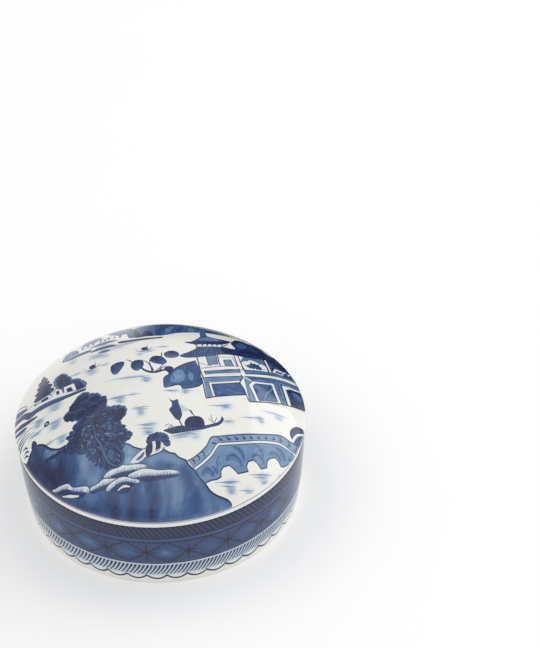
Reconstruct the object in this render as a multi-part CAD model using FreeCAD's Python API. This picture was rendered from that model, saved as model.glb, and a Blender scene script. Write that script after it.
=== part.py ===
import FreeCAD, Part

import math
import os

# Round porcelain trinket box: a base dish on a foot ring, and a domed lid that lifts off it.
# Both pieces are turned about +Z.  Millimetres, +Z up, origin at the centre of the foot, on
# the surface that the box stands on.

# ---- driving dimensions: base ------------------------------------------------------------
rim_diameter = 101.0       # outside of the wall at the seam, and of the lid's plain band
base_height = 28.5         # foot to seam
foot_diameter = 96.0       # outside of the wall at the foot
wall_bow = 0.5             # how far the wall swells beyond a straight line, at mid height
wall = 4.0                 # thickness of the wall
floor_thickness = 3.5      # porcelain under the contents
floor_corner = 6.0         # radius between floor and wall, inside
foot_ring_width = 3.2      # the ring that touches the table
foot_recess = 1.5          # hollow under the floor, inside the foot ring
foot_edge = 0.9            # rounding on the foot's outer edge
ring_edge = 0.6            # rounding on the foot ring's inner edges
rim_edge = 0.5             # rounding on both edges of the base's rim

# ---- driving dimensions: lid ---------------------------------------------------------------
lid_rise = 27.4            # seam to crown
band_height = 2.2          # plain upright band at the lid's edge
shoulder_overhang = 0.5    # how far the shoulder stands out beyond the band
shoulder_radius = 2.6      # tight curve between the band and the dome
shell = 3.6                # thickness of the dome
band_edge = 0.4            # rounding on the band's lower edge
crease = 0.8               # hollow curve where the band meets the shoulder
flange_depth = 4.2         # locating ring that drops inside the base
flange_width = 2.6         # thickness of that ring
flange_edge = 0.8          # rounding on the ring's lower edges
dome_corner = 3.0          # radius between the ring and the inside of the dome
flange_play = 0.3          # clearance between the ring and the base's bore, all round
flange_drop_room = 1.2     # how far the upright bore goes on below the ring

# ---- sizes that follow ---------------------------------------------------------------------
rim_radius = rim_diameter / 2
foot_radius = foot_diameter / 2
bore_radius = rim_radius - wall
bore_bottom = base_height - flange_depth - flange_drop_room
floor_top = foot_recess + floor_thickness
ring_inner = foot_radius - foot_ring_width
bow_radius = (foot_radius + rim_radius) / 2 + wall_bow
bowed_wall = ((foot_radius, 0), (bow_radius, base_height / 2), (rim_radius, base_height))
flange_outer = bore_radius - flange_play
flange_inner = flange_outer - flange_width
flange_bottom = base_height - flange_depth
band_top = base_height + band_height
crown = base_height + lid_rise
shoulder_max = rim_radius + shoulder_overhang


def point(radius, height):
    return FreeCAD.Vector(radius, 0, height)


def straight(*corners):
    """Line edges through a list of (radius, height) corners."""
    return [Part.LineSegment(point(*a), point(*b)).toShape() for a, b in zip(corners, corners[1:])]


def curved(start, middle, end):
    """One arc edge through three (radius, height) points."""
    return [Part.Arc(point(*start), point(*middle), point(*end)).toShape()]


def turned(edges):
    """The solid that a closed outline sweeps in one turn about Z."""
    outline = Part.Wire(Part.__sortEdges__(edges))
    return Part.Face(outline).revolve(FreeCAD.Vector(0, 0, 0), FreeCAD.Vector(0, 0, 1), 360)


def rounded(solid, corners, size):
    """Fillet the ring edges at these (radius, height) corners."""
    chosen = []
    for edge in solid.Edges:
        if edge.Degenerated or not isinstance(edge.Curve, Part.Circle):
            continue
        for radius, height in corners:
            near = abs(edge.Curve.Radius - radius) + abs(edge.Curve.Center.z - height) < 0.001
            if near and abs(edge.Curve.Axis.z) > 0.999:
                chosen.append(edge)
    if len(chosen) != len(corners):
        raise RuntimeError("a corner to round wasn't found: %s" % corners)
    return solid.makeFillet(size, chosen)


def wall_radius_at(height):
    """Outside radius of the bowed wall: the circle through its foot, middle and rim."""
    circle = curved(*bowed_wall)[0].Curve
    return circle.Center.x + math.sqrt(circle.Radius ** 2 - (height - circle.Center.z) ** 2)


def make_base():
    """Dish with a bowed wall, an upright bore for the lid's ring, a floor and a foot ring."""
    floor_radius = wall_radius_at(floor_top) - wall
    edges = curved(*bowed_wall)
    edges += straight(
        (rim_radius, base_height),
        (bore_radius, base_height),
        (bore_radius, bore_bottom),
        (floor_radius, floor_top),
        (0, floor_top),
        (0, foot_recess),
        (ring_inner, foot_recess),
        (ring_inner, 0),
        (foot_radius, 0),
    )
    base = turned(edges)
    base = rounded(base, [(floor_radius, floor_top)], floor_corner)
    base = rounded(base, [(foot_radius, 0)], foot_edge)
    base = rounded(base, [(ring_inner, 0), (ring_inner, foot_recess)], ring_edge)
    return rounded(base, [(rim_radius, base_height), (bore_radius, base_height)], rim_edge)


def make_lid():
    """Domed lid: plain band, rolled shoulder, spherical dome, and a ring that drops inside."""
    # the shoulder's centre stands where its arc meets the top of the band
    shoulder_r = shoulder_max - shoulder_radius
    shoulder_z = band_top + math.sqrt(shoulder_radius ** 2 - (rim_radius - shoulder_r) ** 2)
    # the dome is the sphere that reaches the crown and is tangent to the shoulder's arc
    rise = crown - shoulder_z
    dome_radius = (shoulder_r ** 2 + rise ** 2 - shoulder_radius ** 2) / (2 * (rise - shoulder_radius))
    dome_z = crown - dome_radius
    lean = math.atan2(shoulder_z - dome_z, shoulder_r)
    touch = (dome_radius * math.cos(lean), dome_z + dome_radius * math.sin(lean))
    halfway = (lean + math.pi / 2) / 2
    dome_middle = (dome_radius * math.cos(halfway), dome_z + dome_radius * math.sin(halfway))

    hollow_radius = dome_radius - shell
    hollow_z = dome_z + math.sqrt(hollow_radius ** 2 - flange_inner ** 2)
    hollow_middle = (flange_inner / 2, dome_z + math.sqrt(hollow_radius ** 2 - (flange_inner / 2) ** 2))

    edges = straight((rim_radius, base_height), (rim_radius, band_top))
    edges += curved((rim_radius, band_top), (shoulder_max, shoulder_z), touch)
    edges += curved(touch, dome_middle, (0, crown))
    edges += straight((0, crown), (0, crown - shell))
    edges += curved((0, crown - shell), hollow_middle, (flange_inner, hollow_z))
    edges += straight(
        (flange_inner, hollow_z),
        (flange_inner, flange_bottom),
        (flange_outer, flange_bottom),
        (flange_outer, base_height),
        (rim_radius, base_height),
    )
    lid = turned(edges)
    lid = rounded(lid, [(flange_inner, hollow_z)], dome_corner)
    lid = rounded(lid, [(rim_radius, band_top)], crease)
    lid = rounded(lid, [(rim_radius, base_height)], band_edge)
    return rounded(lid, [(flange_inner, flange_bottom), (flange_outer, flange_bottom)], flange_edge)


os.makedirs("parts", exist_ok=True)
for name, shape in (("base", make_base()), ("lid", make_lid())):
    shape.exportStep("parts/%s.step" % name)
    box = shape.BoundBox
    print(name, "valid", shape.isValid(), "solids", len(shape.Solids), "volume %.0f mm3" % shape.Volume,
          "radius %.2f" % box.XMax, "z %.2f to %.2f" % (box.ZMin, box.ZMax))
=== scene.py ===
# %% [markdown]
# # A porcelain trinket box
# The real thing is a small round box of glazed porcelain: a footed dish and a domed lid that
# lifts off.  Both were pressed in plaster moulds, printed and painted in cobalt blue, dipped
# in clear glaze and fired.  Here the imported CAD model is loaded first, so that every piece
# below is built around its exact sizes.

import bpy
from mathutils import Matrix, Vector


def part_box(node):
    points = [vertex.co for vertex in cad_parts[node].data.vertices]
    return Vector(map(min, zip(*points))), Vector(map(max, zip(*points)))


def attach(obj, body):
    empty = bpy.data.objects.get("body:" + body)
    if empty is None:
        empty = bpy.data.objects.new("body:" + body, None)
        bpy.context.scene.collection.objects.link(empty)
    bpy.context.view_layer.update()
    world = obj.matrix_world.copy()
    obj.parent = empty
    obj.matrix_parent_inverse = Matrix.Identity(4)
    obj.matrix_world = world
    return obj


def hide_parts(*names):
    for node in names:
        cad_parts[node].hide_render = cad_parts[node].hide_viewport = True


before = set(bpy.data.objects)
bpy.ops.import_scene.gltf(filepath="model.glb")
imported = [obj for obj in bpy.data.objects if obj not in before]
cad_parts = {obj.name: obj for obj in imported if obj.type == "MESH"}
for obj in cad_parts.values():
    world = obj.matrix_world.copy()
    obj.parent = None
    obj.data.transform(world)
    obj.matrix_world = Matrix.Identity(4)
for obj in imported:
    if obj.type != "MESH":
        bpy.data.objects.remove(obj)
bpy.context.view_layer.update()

# %% Libraries
import math
import random

import bmesh
import bpy
import numpy as np
from mathutils import Matrix, Vector, geometry

# %% [markdown]
# ## Sizes
# Blender works in metres, but a potter thinks in millimetres, and the picture on the lid is
# easiest to draw in them.  So the sizes are kept in millimetres and multiplied by one constant
# when a mesh is made.  The big ones are read from the CAD pieces, so that the two can't drift
# apart; the small ones, such as how round an edge is, are set here.

# %% Sizes of the two turned pieces
MM = 0.001


def reach(node):
    """Largest radius, lowest and highest point of a turned CAD piece, in millimetres."""
    low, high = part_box(node)
    return max(-low[0], high[0], -low[1], high[1]) / MM, low[2] / MM, high[2] / MM


rim, _, seam = reach("base")
shoulder_max, ring_bottom, crown = reach("lid")
wall, floor_top, recess = 4.0, 5.0, 1.5
foot, foot_ring, bow = 48.0, 3.2, 0.5
bore, straight_bore = rim - wall, 5.4
play, ring_wall = 0.3, 2.6
ring_out = bore - play
ring_in = ring_out - ring_wall
shoulder_turn, band, crease, shell = 2.6, 2.2, 0.8, 3.6
STEPS = 288
print("rim %.2f  seam %.2f  shoulder %.2f  crown %.2f mm" % (rim, seam, shoulder_max, crown))

# %% [markdown]
# ## Turning a profile
# Dish and lid are both round, and a potter shapes such forms with a profile held against the
# turning clay.  They could be carved from cylinders with booleans, but that leaves ragged faces.
# Here a line of points in the XZ plane is the profile, and the spin operator sweeps it round Z.
# A sharp corner catches no light, so each corner may have a radius, which becomes a short arc.

# %% Helpers for turned pieces
def softened(corners, segments=5):
    """Points of a profile from (radius, height, rounding) corners, with the corners as arcs."""
    points = []
    for index, (r, z, rounding) in enumerate(corners):
        here = Vector((r, z))
        if not rounding:
            points.append(here)
            continue
        before = (Vector(corners[index - 1][:2]) - here).normalized()
        after = (Vector(corners[index + 1][:2]) - here).normalized()
        half = before.angle(after) / 2
        start, end = here + before * rounding / math.tan(half), here + after * rounding / math.tan(half)
        centre = here + (before + after).normalized() * rounding / math.sin(half)
        for step in range(segments + 1):
            way = start.lerp(end, step / segments) - centre
            points.append(centre + way.normalized() * rounding)
    return points


def arc_points(centre, radius, start, end, count):
    """Points on an arc in the profile plane, angles in radians from the outward direction."""
    angles = [start + (end - start) * i / count for i in range(count + 1)]
    return [Vector((centre[0] + radius * math.cos(a), centre[1] + radius * math.sin(a))) for a in angles]


def spun(work, profile):
    """Adds to a bmesh the surface that a profile in millimetres sweeps in one turn about Z."""
    row = [work.verts.new((p[0] * MM, 0, p[1] * MM)) for p in profile]
    edges = [work.edges.new(pair) for pair in zip(row, row[1:])]
    bmesh.ops.spin(work, geom=row + edges, cent=(0, 0, 0), axis=(0, 0, 1), dvec=(0, 0, 0),
        angle=math.tau, steps=STEPS, use_merge=True)


def finished(work, name, body, material, *nodes):
    """Closes a bmesh into a smooth object that rides on its body and stands for the named CAD nodes."""
    bmesh.ops.remove_doubles(work, verts=work.verts, dist=0.002 * MM)
    bmesh.ops.recalc_face_normals(work, faces=work.faces)
    mesh = bpy.data.meshes.new(name)
    work.to_mesh(mesh)
    work.free()
    mesh.shade_smooth()
    mesh.materials.append(material)
    piece = bpy.data.objects.new(name, mesh)
    bpy.context.collection.objects.link(piece)
    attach(piece, body)
    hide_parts(*nodes)
    print(name, len(mesh.vertices), "vertices", len(mesh.polygons), "faces")
    return piece


# %% [markdown]
# ## Writing materials as arithmetic
# A glaze is one shader with a few values that change over the surface.  Each value is a chain of
# nodes, which could be wired one link at a time.  Wrapping a socket in a small class lets the
# same chain be written as ordinary arithmetic, and that is far easier to read and to change.

# %% Arithmetic on node sockets
class Wire:
    """A value inside a material.  Arithmetic on it adds Math nodes."""

    def __init__(self, finish, socket):
        self.finish, self.socket = finish, socket

    def math(self, operation, *others):
        return self.finish.node("ShaderNodeMath", {"operation": operation}, [self, *others])[0]

    def __add__(self, other):
        return self.math("ADD", other)

    def __mul__(self, other):
        return self.math("MULTIPLY", other)

    def __sub__(self, other):
        return self.math("SUBTRACT", other)

    def __truediv__(self, other):
        return self.math("DIVIDE", other)

    def __rsub__(self, other):
        return self.finish.node("ShaderNodeMath", {"operation": "SUBTRACT"}, [other, self])[0]

    def __abs__(self):
        return self.math("ABSOLUTE")

    __radd__ = __add__
    __rmul__ = __mul__

    def sqrt(self):
        return self.math("SQRT")

    def most(self, other):
        return self.math("MAXIMUM", other)

    def off_centre(self):
        """Distance from the nearest whole number, from -0.5 to 0.5."""
        return (self + 0.5).math("FRACT") - 0.5


class Finish:
    """A material with one Principled shader, and a method that adds any other node."""

    def __init__(self, name, **constants):
        self.material = bpy.data.materials.new(name)
        self.material.use_nodes = True
        self.tree = self.material.node_tree
        self.shader = self.tree.nodes["Principled BSDF"]
        for socket, value in constants.items():
            self.shader.inputs[socket.replace("_", " ")].default_value = value

    def node(self, kind, settings=None, values=()):
        made = self.tree.nodes.new(kind)
        for name, value in (settings or {}).items():
            if name == "stops":
                ramp = made.color_ramp
                while len(ramp.elements) < len(value):
                    ramp.elements.new(0.5)
                for element, (place, colour) in zip(ramp.elements, value):
                    element.position, element.color = place, (*colour, 1)
            else:
                setattr(made, name, value)
        for name, value in values.items() if isinstance(values, dict) else enumerate(values):
            if isinstance(value, Wire):
                self.tree.links.new(value.socket, made.inputs[name])
            else:
                made.inputs[name].default_value = value
        return [Wire(self, socket) for socket in made.outputs]

    def feed(self, socket, wire):
        self.tree.links.new(wire.socket, self.shader.inputs[socket])

    def step(self, value, low, high):
        """0 below low, 1 above high, smooth between."""
        settings = {"interpolation_type": "SMOOTHSTEP"}
        return self.node("ShaderNodeMapRange", settings, [value, low, high, 0.0, 1.0])[0]

    def line(self, distance, half_width, blur=0.06):
        """1 on a line, 0 off it, from the distance to its middle and half its width, in millimetres."""
        return 1 - self.step(abs(distance), max(0.0, half_width - blur), half_width + blur)

    def below(self, value, blur):
        """1 where a value is below 0."""
        return 1 - self.step(value, -blur, blur)

    def noise(self, place, scale, detail=2.0, rough=0.5):
        values = {"Vector": place, "Scale": scale, "Detail": detail, "Roughness": rough}
        return self.node("ShaderNodeTexNoise", {}, values)[0] - 0.5


def srgb(red, green, blue):
    """A colour named by its 0-255 screen values, as the linear numbers that a shader takes."""
    parts = [value / 255 for value in (red, green, blue)]
    return tuple(p / 12.92 if p <= 0.04045 else ((p + 0.055) / 1.055) ** 2.4 for p in parts)

# %% [markdown]
# ## Cobalt under a clear glaze
# The blue is cobalt oxide, thin and pale or thick and nearly black, under one coat of clear
# glaze.  Each blue could be a colour of its own, but they are one pigment, so every blue on the
# box is read from the same ramp, from bare porcelain to deep navy, at a different thickness.
# The glaze is glassy, with a faint unevenness from the firing that only shows in reflections.

# %% Shared glaze
PORCELAIN = (240, 239, 233)
COBALT = [(0.0, srgb(*PORCELAIN)), (0.14, srgb(205, 217, 226)), (0.34, srgb(120, 152, 185)),
    (0.58, srgb(57, 89, 138)), (0.80, srgb(32, 42, 84)), (1.0, srgb(12, 14, 46)),]
GLAZE = {"Roughness": 0.08, "IOR": 1.52}
print("cobalt ramp of", len(COBALT), "colours")


def cobalt(finish, thickness):
    """The colour of that thickness of cobalt on porcelain."""
    return finish.node("ShaderNodeValToRGB", {"stops": COBALT}, [thickness])[0]


def in_millimetres(finish):
    """Object coordinates in millimetres: the vector, then x, y and z."""
    place = finish.node("ShaderNodeTexCoord")[3]
    scaled = finish.node("ShaderNodeVectorMath", {"operation": "SCALE"}, {0: place, "Scale": 1 / MM})[0]
    return scaled, *finish.node("ShaderNodeSeparateXYZ", {}, [scaled])


def fire(finish, place, colour, roughness=None):
    """Feeds the colour, and the slight ripple and uneven shine of a fired glaze."""
    ripple = finish.noise(place, 0.35, 2.0) + finish.noise(place, 2.5, 1.0) * 0.12
    bump = finish.node("ShaderNodeBump", {}, {"Strength": 0.25, "Distance": 0.00012, "Height": ripple})[0]
    shine = 0.075 + finish.noise(place, 0.12, 3.0) * 0.05 if roughness is None else roughness
    finish.feed("Base Color", colour)
    finish.feed("Roughness", shine)
    finish.feed("Normal", bump)
    return finish.material


# %% [markdown]
# ## The printed border round the wall
# The border is a transfer print that repeats round the wall.  From the top it has slanting
# strokes, a double rule, a lattice with a star at each crossing, a fringe of comma strokes and a
# scalloped line.  It could be cut into the mesh, but because it repeats, a few lines of
# arithmetic on two numbers, the turn round the axis and the height, draw all of it at any
# sharpness.  A little noise bends the lines, as on a print laid on by hand.

# %% Border of the wall
STARS, STROKES, COMMAS, SCALLOPS = 22, 168, 220, 44
STAR_TURN = -98.9 / 360
PRINT_TOP, TOP_RULE, LATTICE_TOP, LATTICE_LOW = 28.4, 23.2, 21.3, 11.3
LOW_RULE, COMMA_TOP, COMMA_LENGTH, SCALLOP_LOW = 10.85, 9.7, 4.7, 2.6
SCALLOP_TURN = 0.616
LATTICE_MIDDLE = (LATTICE_TOP + LATTICE_LOW) / 2


def double_rule(finish, height):
    """The two rules above the lattice."""
    top = finish.line(height - TOP_RULE, 0.26, 0.10)
    return top.most(finish.line(height - LATTICE_TOP, 0.32, 0.10))


def slanting_strokes(finish, turn, height):
    """The dark band under the rim."""
    slant = (turn * STROKES + height * 0.36).off_centre()
    return 0.76 + finish.line(slant, 0.22, 0.09) * 0.24


# %% Lattice with stars
def lattice_band(finish, place, turn, height):
    """Two families of slanting lines, a star at each crossing and pale lights between."""
    across = math.tau * rim / STARS
    rise = LATTICE_TOP - LATTICE_LOW
    steep = rise / math.hypot(rise, across)
    along = turn * STARS
    above = height - LATTICE_MIDDLE
    climbing = (along + above / rise).off_centre() * (across * steep)
    falling = (along - above / rise).off_centre() * (across * steep)
    lattice = finish.line(climbing, 0.34, 0.14).most(finish.line(falling, 0.34, 0.14))
    lattice = lattice * (1 - finish.step(height, LATTICE_TOP - 0.1, LATTICE_TOP + 0.1))

    # star: an upright and a level stroke that taper to points, and a dark middle
    aside = along.off_centre() * across
    upright = finish.below(abs(aside) - 0.48 + abs(above) * 0.085, 0.12)
    level = finish.below(abs(above) - 0.46 + abs(aside) * 0.075, 0.12)
    middle = finish.below((aside * aside + above * above).sqrt() - 0.7, 0.4)
    star = upright.most(level).most(middle)

    # the lights are washed by hand, so some lozenges have more of them than others
    beside = (along + 0.5).off_centre() * across
    lozenge = finish.below((beside * beside * 0.30 + above * above).sqrt() - 1.9, 1.5)
    uneven = finish.noise(place, 0.13, 1.0)
    ground = 0.715 - lozenge * (0.06 + finish.step(uneven, -0.05, 0.15) * 0.16) + uneven * 0.12
    return ground.most(lattice * 0.97).most(star)


# %% Comma strokes and scallops
def fringe(finish, turn, height):
    """Comma strokes that curl to a point, above a scalloped line with two swags to each star."""
    drop = (COMMA_TOP - height) / COMMA_LENGTH
    curl = (drop * 1.7 + drop * drop * 1.3) / 360
    comma = ((turn + curl) * COMMAS).off_centre() * (math.tau * rim / COMMAS)
    thick = 0.50 - drop.most(0.0) * 0.20
    beads = (drop * 7).off_centre() * 0.14
    commas = finish.below(abs(comma) - thick + abs(beads), 0.07) * finish.line(drop - 0.49, 0.51, 0.04)

    swag = (turn * SCALLOPS + SCALLOP_TURN).off_centre() * 2
    hanging = (height - SCALLOP_LOW - swag * swag * 1.75) / (1 + swag * swag * 0.9).sqrt()
    scallop = finish.line(hanging, 0.36, 0.14)
    halo = finish.step(height, 3.0, 5.6) * (1 - finish.step(height, 10.2, 10.6)) * 0.17
    low_rule = finish.line(height - LOW_RULE, 0.32, 0.10)
    return (commas * 0.84).most(scallop * 0.90).most(halo).most(low_rule * 0.97)


# %% Glaze of the wall
def make_wall_glaze():
    finish = Finish("wall_glaze", **GLAZE)
    place, x, y, z = in_millimetres(finish)
    radius = (x * x + y * y).sqrt()
    turn = y.math("ARCTAN2", x) / math.tau - STAR_TURN + finish.noise(place, 0.45, 1.0) * 0.0009
    height = z + finish.noise(place, 0.3, 1.0) * 0.35
    rules = double_rule(finish, height)
    strip = finish.line(height - (TOP_RULE + LATTICE_TOP + 0.1) / 2, 0.45, 0.15)
    low = fringe(finish, turn, height)
    panel = lattice_band(finish, place, turn, height).most(rules) - strip * 0.07
    upper = slanting_strokes(finish, turn, height).most(rules)
    in_panel = finish.step(height, LATTICE_LOW - 0.15, LATTICE_LOW)
    in_upper = finish.step(height, TOP_RULE, TOP_RULE + 0.15)
    printed = low * (1 - in_panel) + panel * in_panel * (1 - in_upper) + upper * in_upper
    printed = printed.most(finish.step(height, PRINT_TOP - 0.5, PRINT_TOP - 0.2) * 0.72)

    # only the outside of the wall is printed, and the foot's edge is wiped clean of glaze
    below_rim = 1 - finish.step(z, PRINT_TOP, PRINT_TOP + 0.06)
    outside = finish.step(radius - z * 0.07, foot - 2.2, foot - 2.0) * below_rim
    worn = finish.noise(place, 1.5, 3.0, 0.6)
    thickness = printed * (1 + worn * 0.16) * outside
    wiped = 1 - finish.step(z, 0.2, 0.45)
    return fire(finish, place, cobalt(finish, thickness), 0.075 + wiped * 0.5)


print(STARS, "stars,", STROKES, "slanting strokes,", COMMAS, "commas and", SCALLOPS, "scallops")

# %% [markdown]
# ## The base
# The base is a shallow dish.  Its wall swells slightly, the inside has a generous corner so
# that a ring can be fished out, and it stands on a foot ring with a recess under the floor.
# All of that is one closed profile, from the middle of the underside, out, up and back in, so
# one spin makes the whole dish with a true thickness everywhere.

# %% Base
def bowed_wall(count=12):
    """Points up the outside of the wall, on the circle through its foot, middle and rim."""
    chord = Vector((rim - foot, seam))
    normal = Vector((chord.y, -chord.x)).normalized()
    sag = bow * normal.x
    radius = (chord.length ** 2 / 4 + sag ** 2) / (2 * sag)
    centre = Vector((foot, 0)) + chord / 2 - normal * (radius - sag)
    half = math.asin(chord.length / 2 / radius)
    facing = math.atan2(normal.y, normal.x)
    return arc_points(centre, radius, facing - half, facing + half, count)


def make_base():
    outside = bowed_wall()
    floor_radius = next(p.x for p in outside if p.y > floor_top) - wall
    ring = foot - foot_ring
    underside, foot_edge, rim_edge, inside_corner = 0.6, 0.9, 0.5, 6.0
    corners = [(0, recess, 0), (ring, recess, underside), (ring, 0, underside), (foot, 0, foot_edge)]
    corners += [(p.x, p.y, 0) for p in outside[1:-1]]
    corners += [(rim, seam, rim_edge), (bore, seam, rim_edge), (bore, seam - straight_bore, 0)]
    corners += [(floor_radius, floor_top, inside_corner), (floor_radius * 0.5, floor_top, 0),
        (0, floor_top, 0)]
    work = bmesh.new()
    spun(work, softened(corners))
    return finished(work, "base_dish", "base", make_wall_glaze(), "base")


base_dish = make_base()

# %% [markdown]
# ## Brush marks for the lid
# The picture on the lid is a river landscape in the old blue and white manner.  It doesn't
# repeat, so arithmetic can't draw it as it drew the border.  A painter lays one stroke after
# another, and the picture is kept in the same way: a list of marks, each an outline in
# millimetres seen from above, with a thickness of cobalt.  Marks laid later cover earlier ones,
# which also gives the white lines: they are marks with next to no cobalt.

# %% Lines, lobes and strokes
marks = []
washes = []
folds = []
EDGE_OF_PRINT = 53.4


def curve(points, closed=True, gap=0.8):
    """A smooth line through points, with a new point about every gap millimetres."""
    path = np.array(points, float)
    if closed:
        padded = np.vstack([path[-1:], path, path[:2]])
    else:
        padded = np.vstack([2 * path[0] - path[1], path, 2 * path[-1] - path[-2]])
    parts = []
    for before, start, end, after in zip(padded, padded[1:], padded[2:], padded[3:]):
        length = np.hypot(*(end - start)) + 1e-9
        leave = (end - before) / (np.hypot(*(start - before)) + length) * length
        arrive = (after - start) / (np.hypot(*(after - end)) + length) * length
        t = np.linspace(0, 1, max(1, round(length / gap)), endpoint=False)[:, None]
        square = 3 * (end - start) - 2 * leave - arrive
        cube = 2 * (start - end) + leave + arrive
        parts.append(start + leave * t + square * t ** 2 + cube * t ** 3)
    return np.vstack(parts if closed else parts + [path[-1:]])


def lobes(points, bulge=0.28, steps=5):
    """A closed outline of round lobes, with a cusp at every point, as a painter clumps leaves."""
    path = np.array(points, float)
    following = np.roll(path, -1, axis=0)
    turn = np.sign(np.sum(path[:, 0] * following[:, 1] - path[:, 1] * following[:, 0]))
    parts = []
    for start, end in zip(path, following):
        out = np.array([end[1] - start[1], start[0] - end[0]]) * turn
        t = np.linspace(0, 1, steps, endpoint=False)[:, None]
        parts.append(start + (end - start) * t + out * bulge * 4 * t * (1 - t))
    return np.vstack(parts)


def stroke(points, width, smooth=True):
    """The outline of a brush stroke; width is one number, or several from start to end."""
    path = curve(points, False, 0.9) if smooth else np.array(points, float)
    given = np.atleast_1d(width).astype(float)
    if len(given) == 1:
        given = np.repeat(given, 2)
    widths = np.interp(np.linspace(0, 1, len(path)), np.linspace(0, 1, len(given)), given) / 2
    way = np.gradient(path, axis=0)
    way /= np.linalg.norm(way, axis=1)[:, None] + 1e-9
    side = np.column_stack([-way[:, 1], way[:, 0]]) * widths[:, None]
    return np.vstack([path + side, (path - side)[::-1]])


def paint(outline, tone, streak=0.3, mottle=0.3, angle=0.0, fade=None):
    """Lays one mark.  fade is (tone at the far end, direction in degrees)."""
    outline = np.array(outline, float)
    far = np.hypot(outline[:, 0], outline[:, 1])
    outline *= np.minimum(1, EDGE_OF_PRINT / np.maximum(far, 1e-9))[:, None]
    marks.append((outline, tone, streak, mottle, math.radians(angle), fade))


def dab(points, tone, streak=0.3, mottle=0.3, angle=0.0, fade=None, gap=0.8):
    """Lays a mark with a smooth outline through the points."""
    paint(curve(points, True, gap), tone, streak, mottle, angle, fade)


def bare(outline):
    """Lays a mark with next to no cobalt, which leaves the porcelain white."""
    paint(outline, 0.03, 0, 0)


def line(points, width, tone=0.92, smooth=True):
    """Lays one even brush stroke."""
    paint(stroke(points, width, smooth), tone, 0.1, 0.15)


def rule(points, width, tone=0.80):
    """Lays a stroke that runs straight from point to point."""
    line(points, width, tone, False)


def framed(outline, width, *look):
    """Lays a mark with straight sides, then a dark line round it."""
    paint(outline, *look)
    rule(outline + outline[:1], width)


def hatch(outline, angle, spacing, width, tone, ragged=0.15, seed=1):
    """Parallel strokes inside an outline, a little uneven in place and length."""
    rng = random.Random(seed)
    a = math.radians(angle)
    along, across = np.array([math.cos(a), math.sin(a)]), np.array([-math.sin(a), math.cos(a)])
    ring = np.array(outline, float)
    u, v = ring @ along, ring @ across
    level = v.min() + spacing * 0.5
    while level < v.max():
        crossed = (v > level) != (np.roll(v, -1) > level)
        share = (level - v) / (np.roll(v, -1) - v + 1e-12)
        cuts = np.sort((u + (np.roll(u, -1) - u) * share)[crossed])
        for start, end in zip(cuts[::2], cuts[1::2]):
            if end - start > spacing * 0.4:
                slip = [rng.uniform(0, ragged) for _ in range(3)]
                first = along * (start + slip[0] * (end - start) * 0.5) + across * (level + slip[1] * spacing)
                last = along * (end - slip[2] * (end - start) * 0.5) + across * (level - slip[1] * spacing)
                paint(stroke([first, last], [width, width * 0.6], False), tone, 0.1, 0.15)
        level += spacing * rng.uniform(1 - ragged, 1 + ragged)


def wash(x, y, length, width, angle=0, tone=0.3):
    """A soft pale patch of water: a blurred oval, streaked along its length."""
    washes.append((x, y, length / 2, width / 2, math.radians(angle), tone))


def ripples(x, y, length, width, angle=0, tone=0.4, seed=0):
    """Water drawn as a few dragged strokes over a faint wash, the longest at the top."""
    rng = random.Random(seed)
    cos, sin = math.cos(math.radians(angle)), math.sin(math.radians(angle))
    rows = max(1, round(width / 0.42))
    lean_to = rng.choice((-1, 1, 1)) * 0.12
    middle_x, middle_y = x + lean_to * length * cos, y + lean_to * length * sin
    wash(middle_x, middle_y, length * 0.6, width * 1.1, angle, tone * 0.5)
    for row in range(rows):
        aside = (0.5 - (row + 0.5) / rows) * width
        half = length * (0.5 if row == 0 else 0.34 - 0.2 * (row / rows)) * rng.uniform(0.8, 1.0)
        shift = 0 if row == 0 else (lean_to + rng.uniform(-0.05, 0.05)) * length
        bend = aside + rng.uniform(-0.1, 0.1)
        ends = [(shift - half, aside + 0.1), (shift, bend), (shift + half, aside - 0.1)]
        turned = [(x + u * cos - v * sin, y + u * sin + v * cos) for u, v in ends]
        wide = 0.3 if row == 0 else rng.uniform(0.3, 0.5)
        strength = 1.1 if row == 0 else rng.uniform(0.5, 0.85)
        paint(stroke(turned, [0.06, wide, 0.06]), tone * strength, 0.8, 0.6, angle)


def water(rows):
    """Lays ripples for each (x, y, length, width, angle, tone)."""
    for x, y, length, width, angle, tone in rows:
        ripples(x, y, length, width, angle, tone, int(x * 7 + y))


def fold(points, width, change):
    """A soft darker or paler fold inside a wash: change is added along a curved line."""
    folds.append((curve(points, False, 1.0), width / 2, change))


print("brush marks ready")

# %% [markdown]
# ## Far shore and hills
# What is far away is laid first, because nearer things will cover parts of it.  On the real
# lid the far bank is a row of banks and rocks with small upright dabs for houses, and the hills
# behind it are one broad wash with streaks.  Smooth outlines suit both, and a fan of thin
# strokes over a pale oval makes the water.

# %% Far shore
dab([(-33, 21.5), (-33, 25), (-32, 28.5), (-30.5, 30.6), (-29, 29.5), (-27.6, 27), (-27.2, 24),
    (-27.3, 21.5)], 0.55, 0.8, 0.3, 80)
paint(lobes([(-26, 29), (-25.6, 31.5), (-24.2, 33.6), (-22, 34.6), (-19.8, 33.8), (-18.8, 31.5),
    (-20, 29.4), (-23, 28.6)]), 0.62, 0.6, 0.6, 70)
dab([(-16.6, 34), (-15.6, 32), (-13.6, 29.6), (-12.2, 28.4), (-10.2, 28.8), (-9.4, 25), (-8.6, 22.6),
    (-6.9, 22.4), (-6.8, 28), (-7.2, 33), (-8.4, 36.4), (-12, 37.4), (-15.6, 36.8)], 0.6, 0.7, 0.3, 75)
for x, y, tall in [(-25.8, 27, 2.6), (-23.8, 27.3, 2), (-21.9, 27, 2.4), (-19.2, 27.5, 2.8),
        (-17.6, 27.4, 2), (-16.3, 28, 2.4), (-14.2, 27.6, 2), (-12.2, 27.3, 2.6)]:
    line([(x, y + tall / 2), (x - 0.1, y - tall / 2)], [1.0, 0.6], 0.66)
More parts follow.
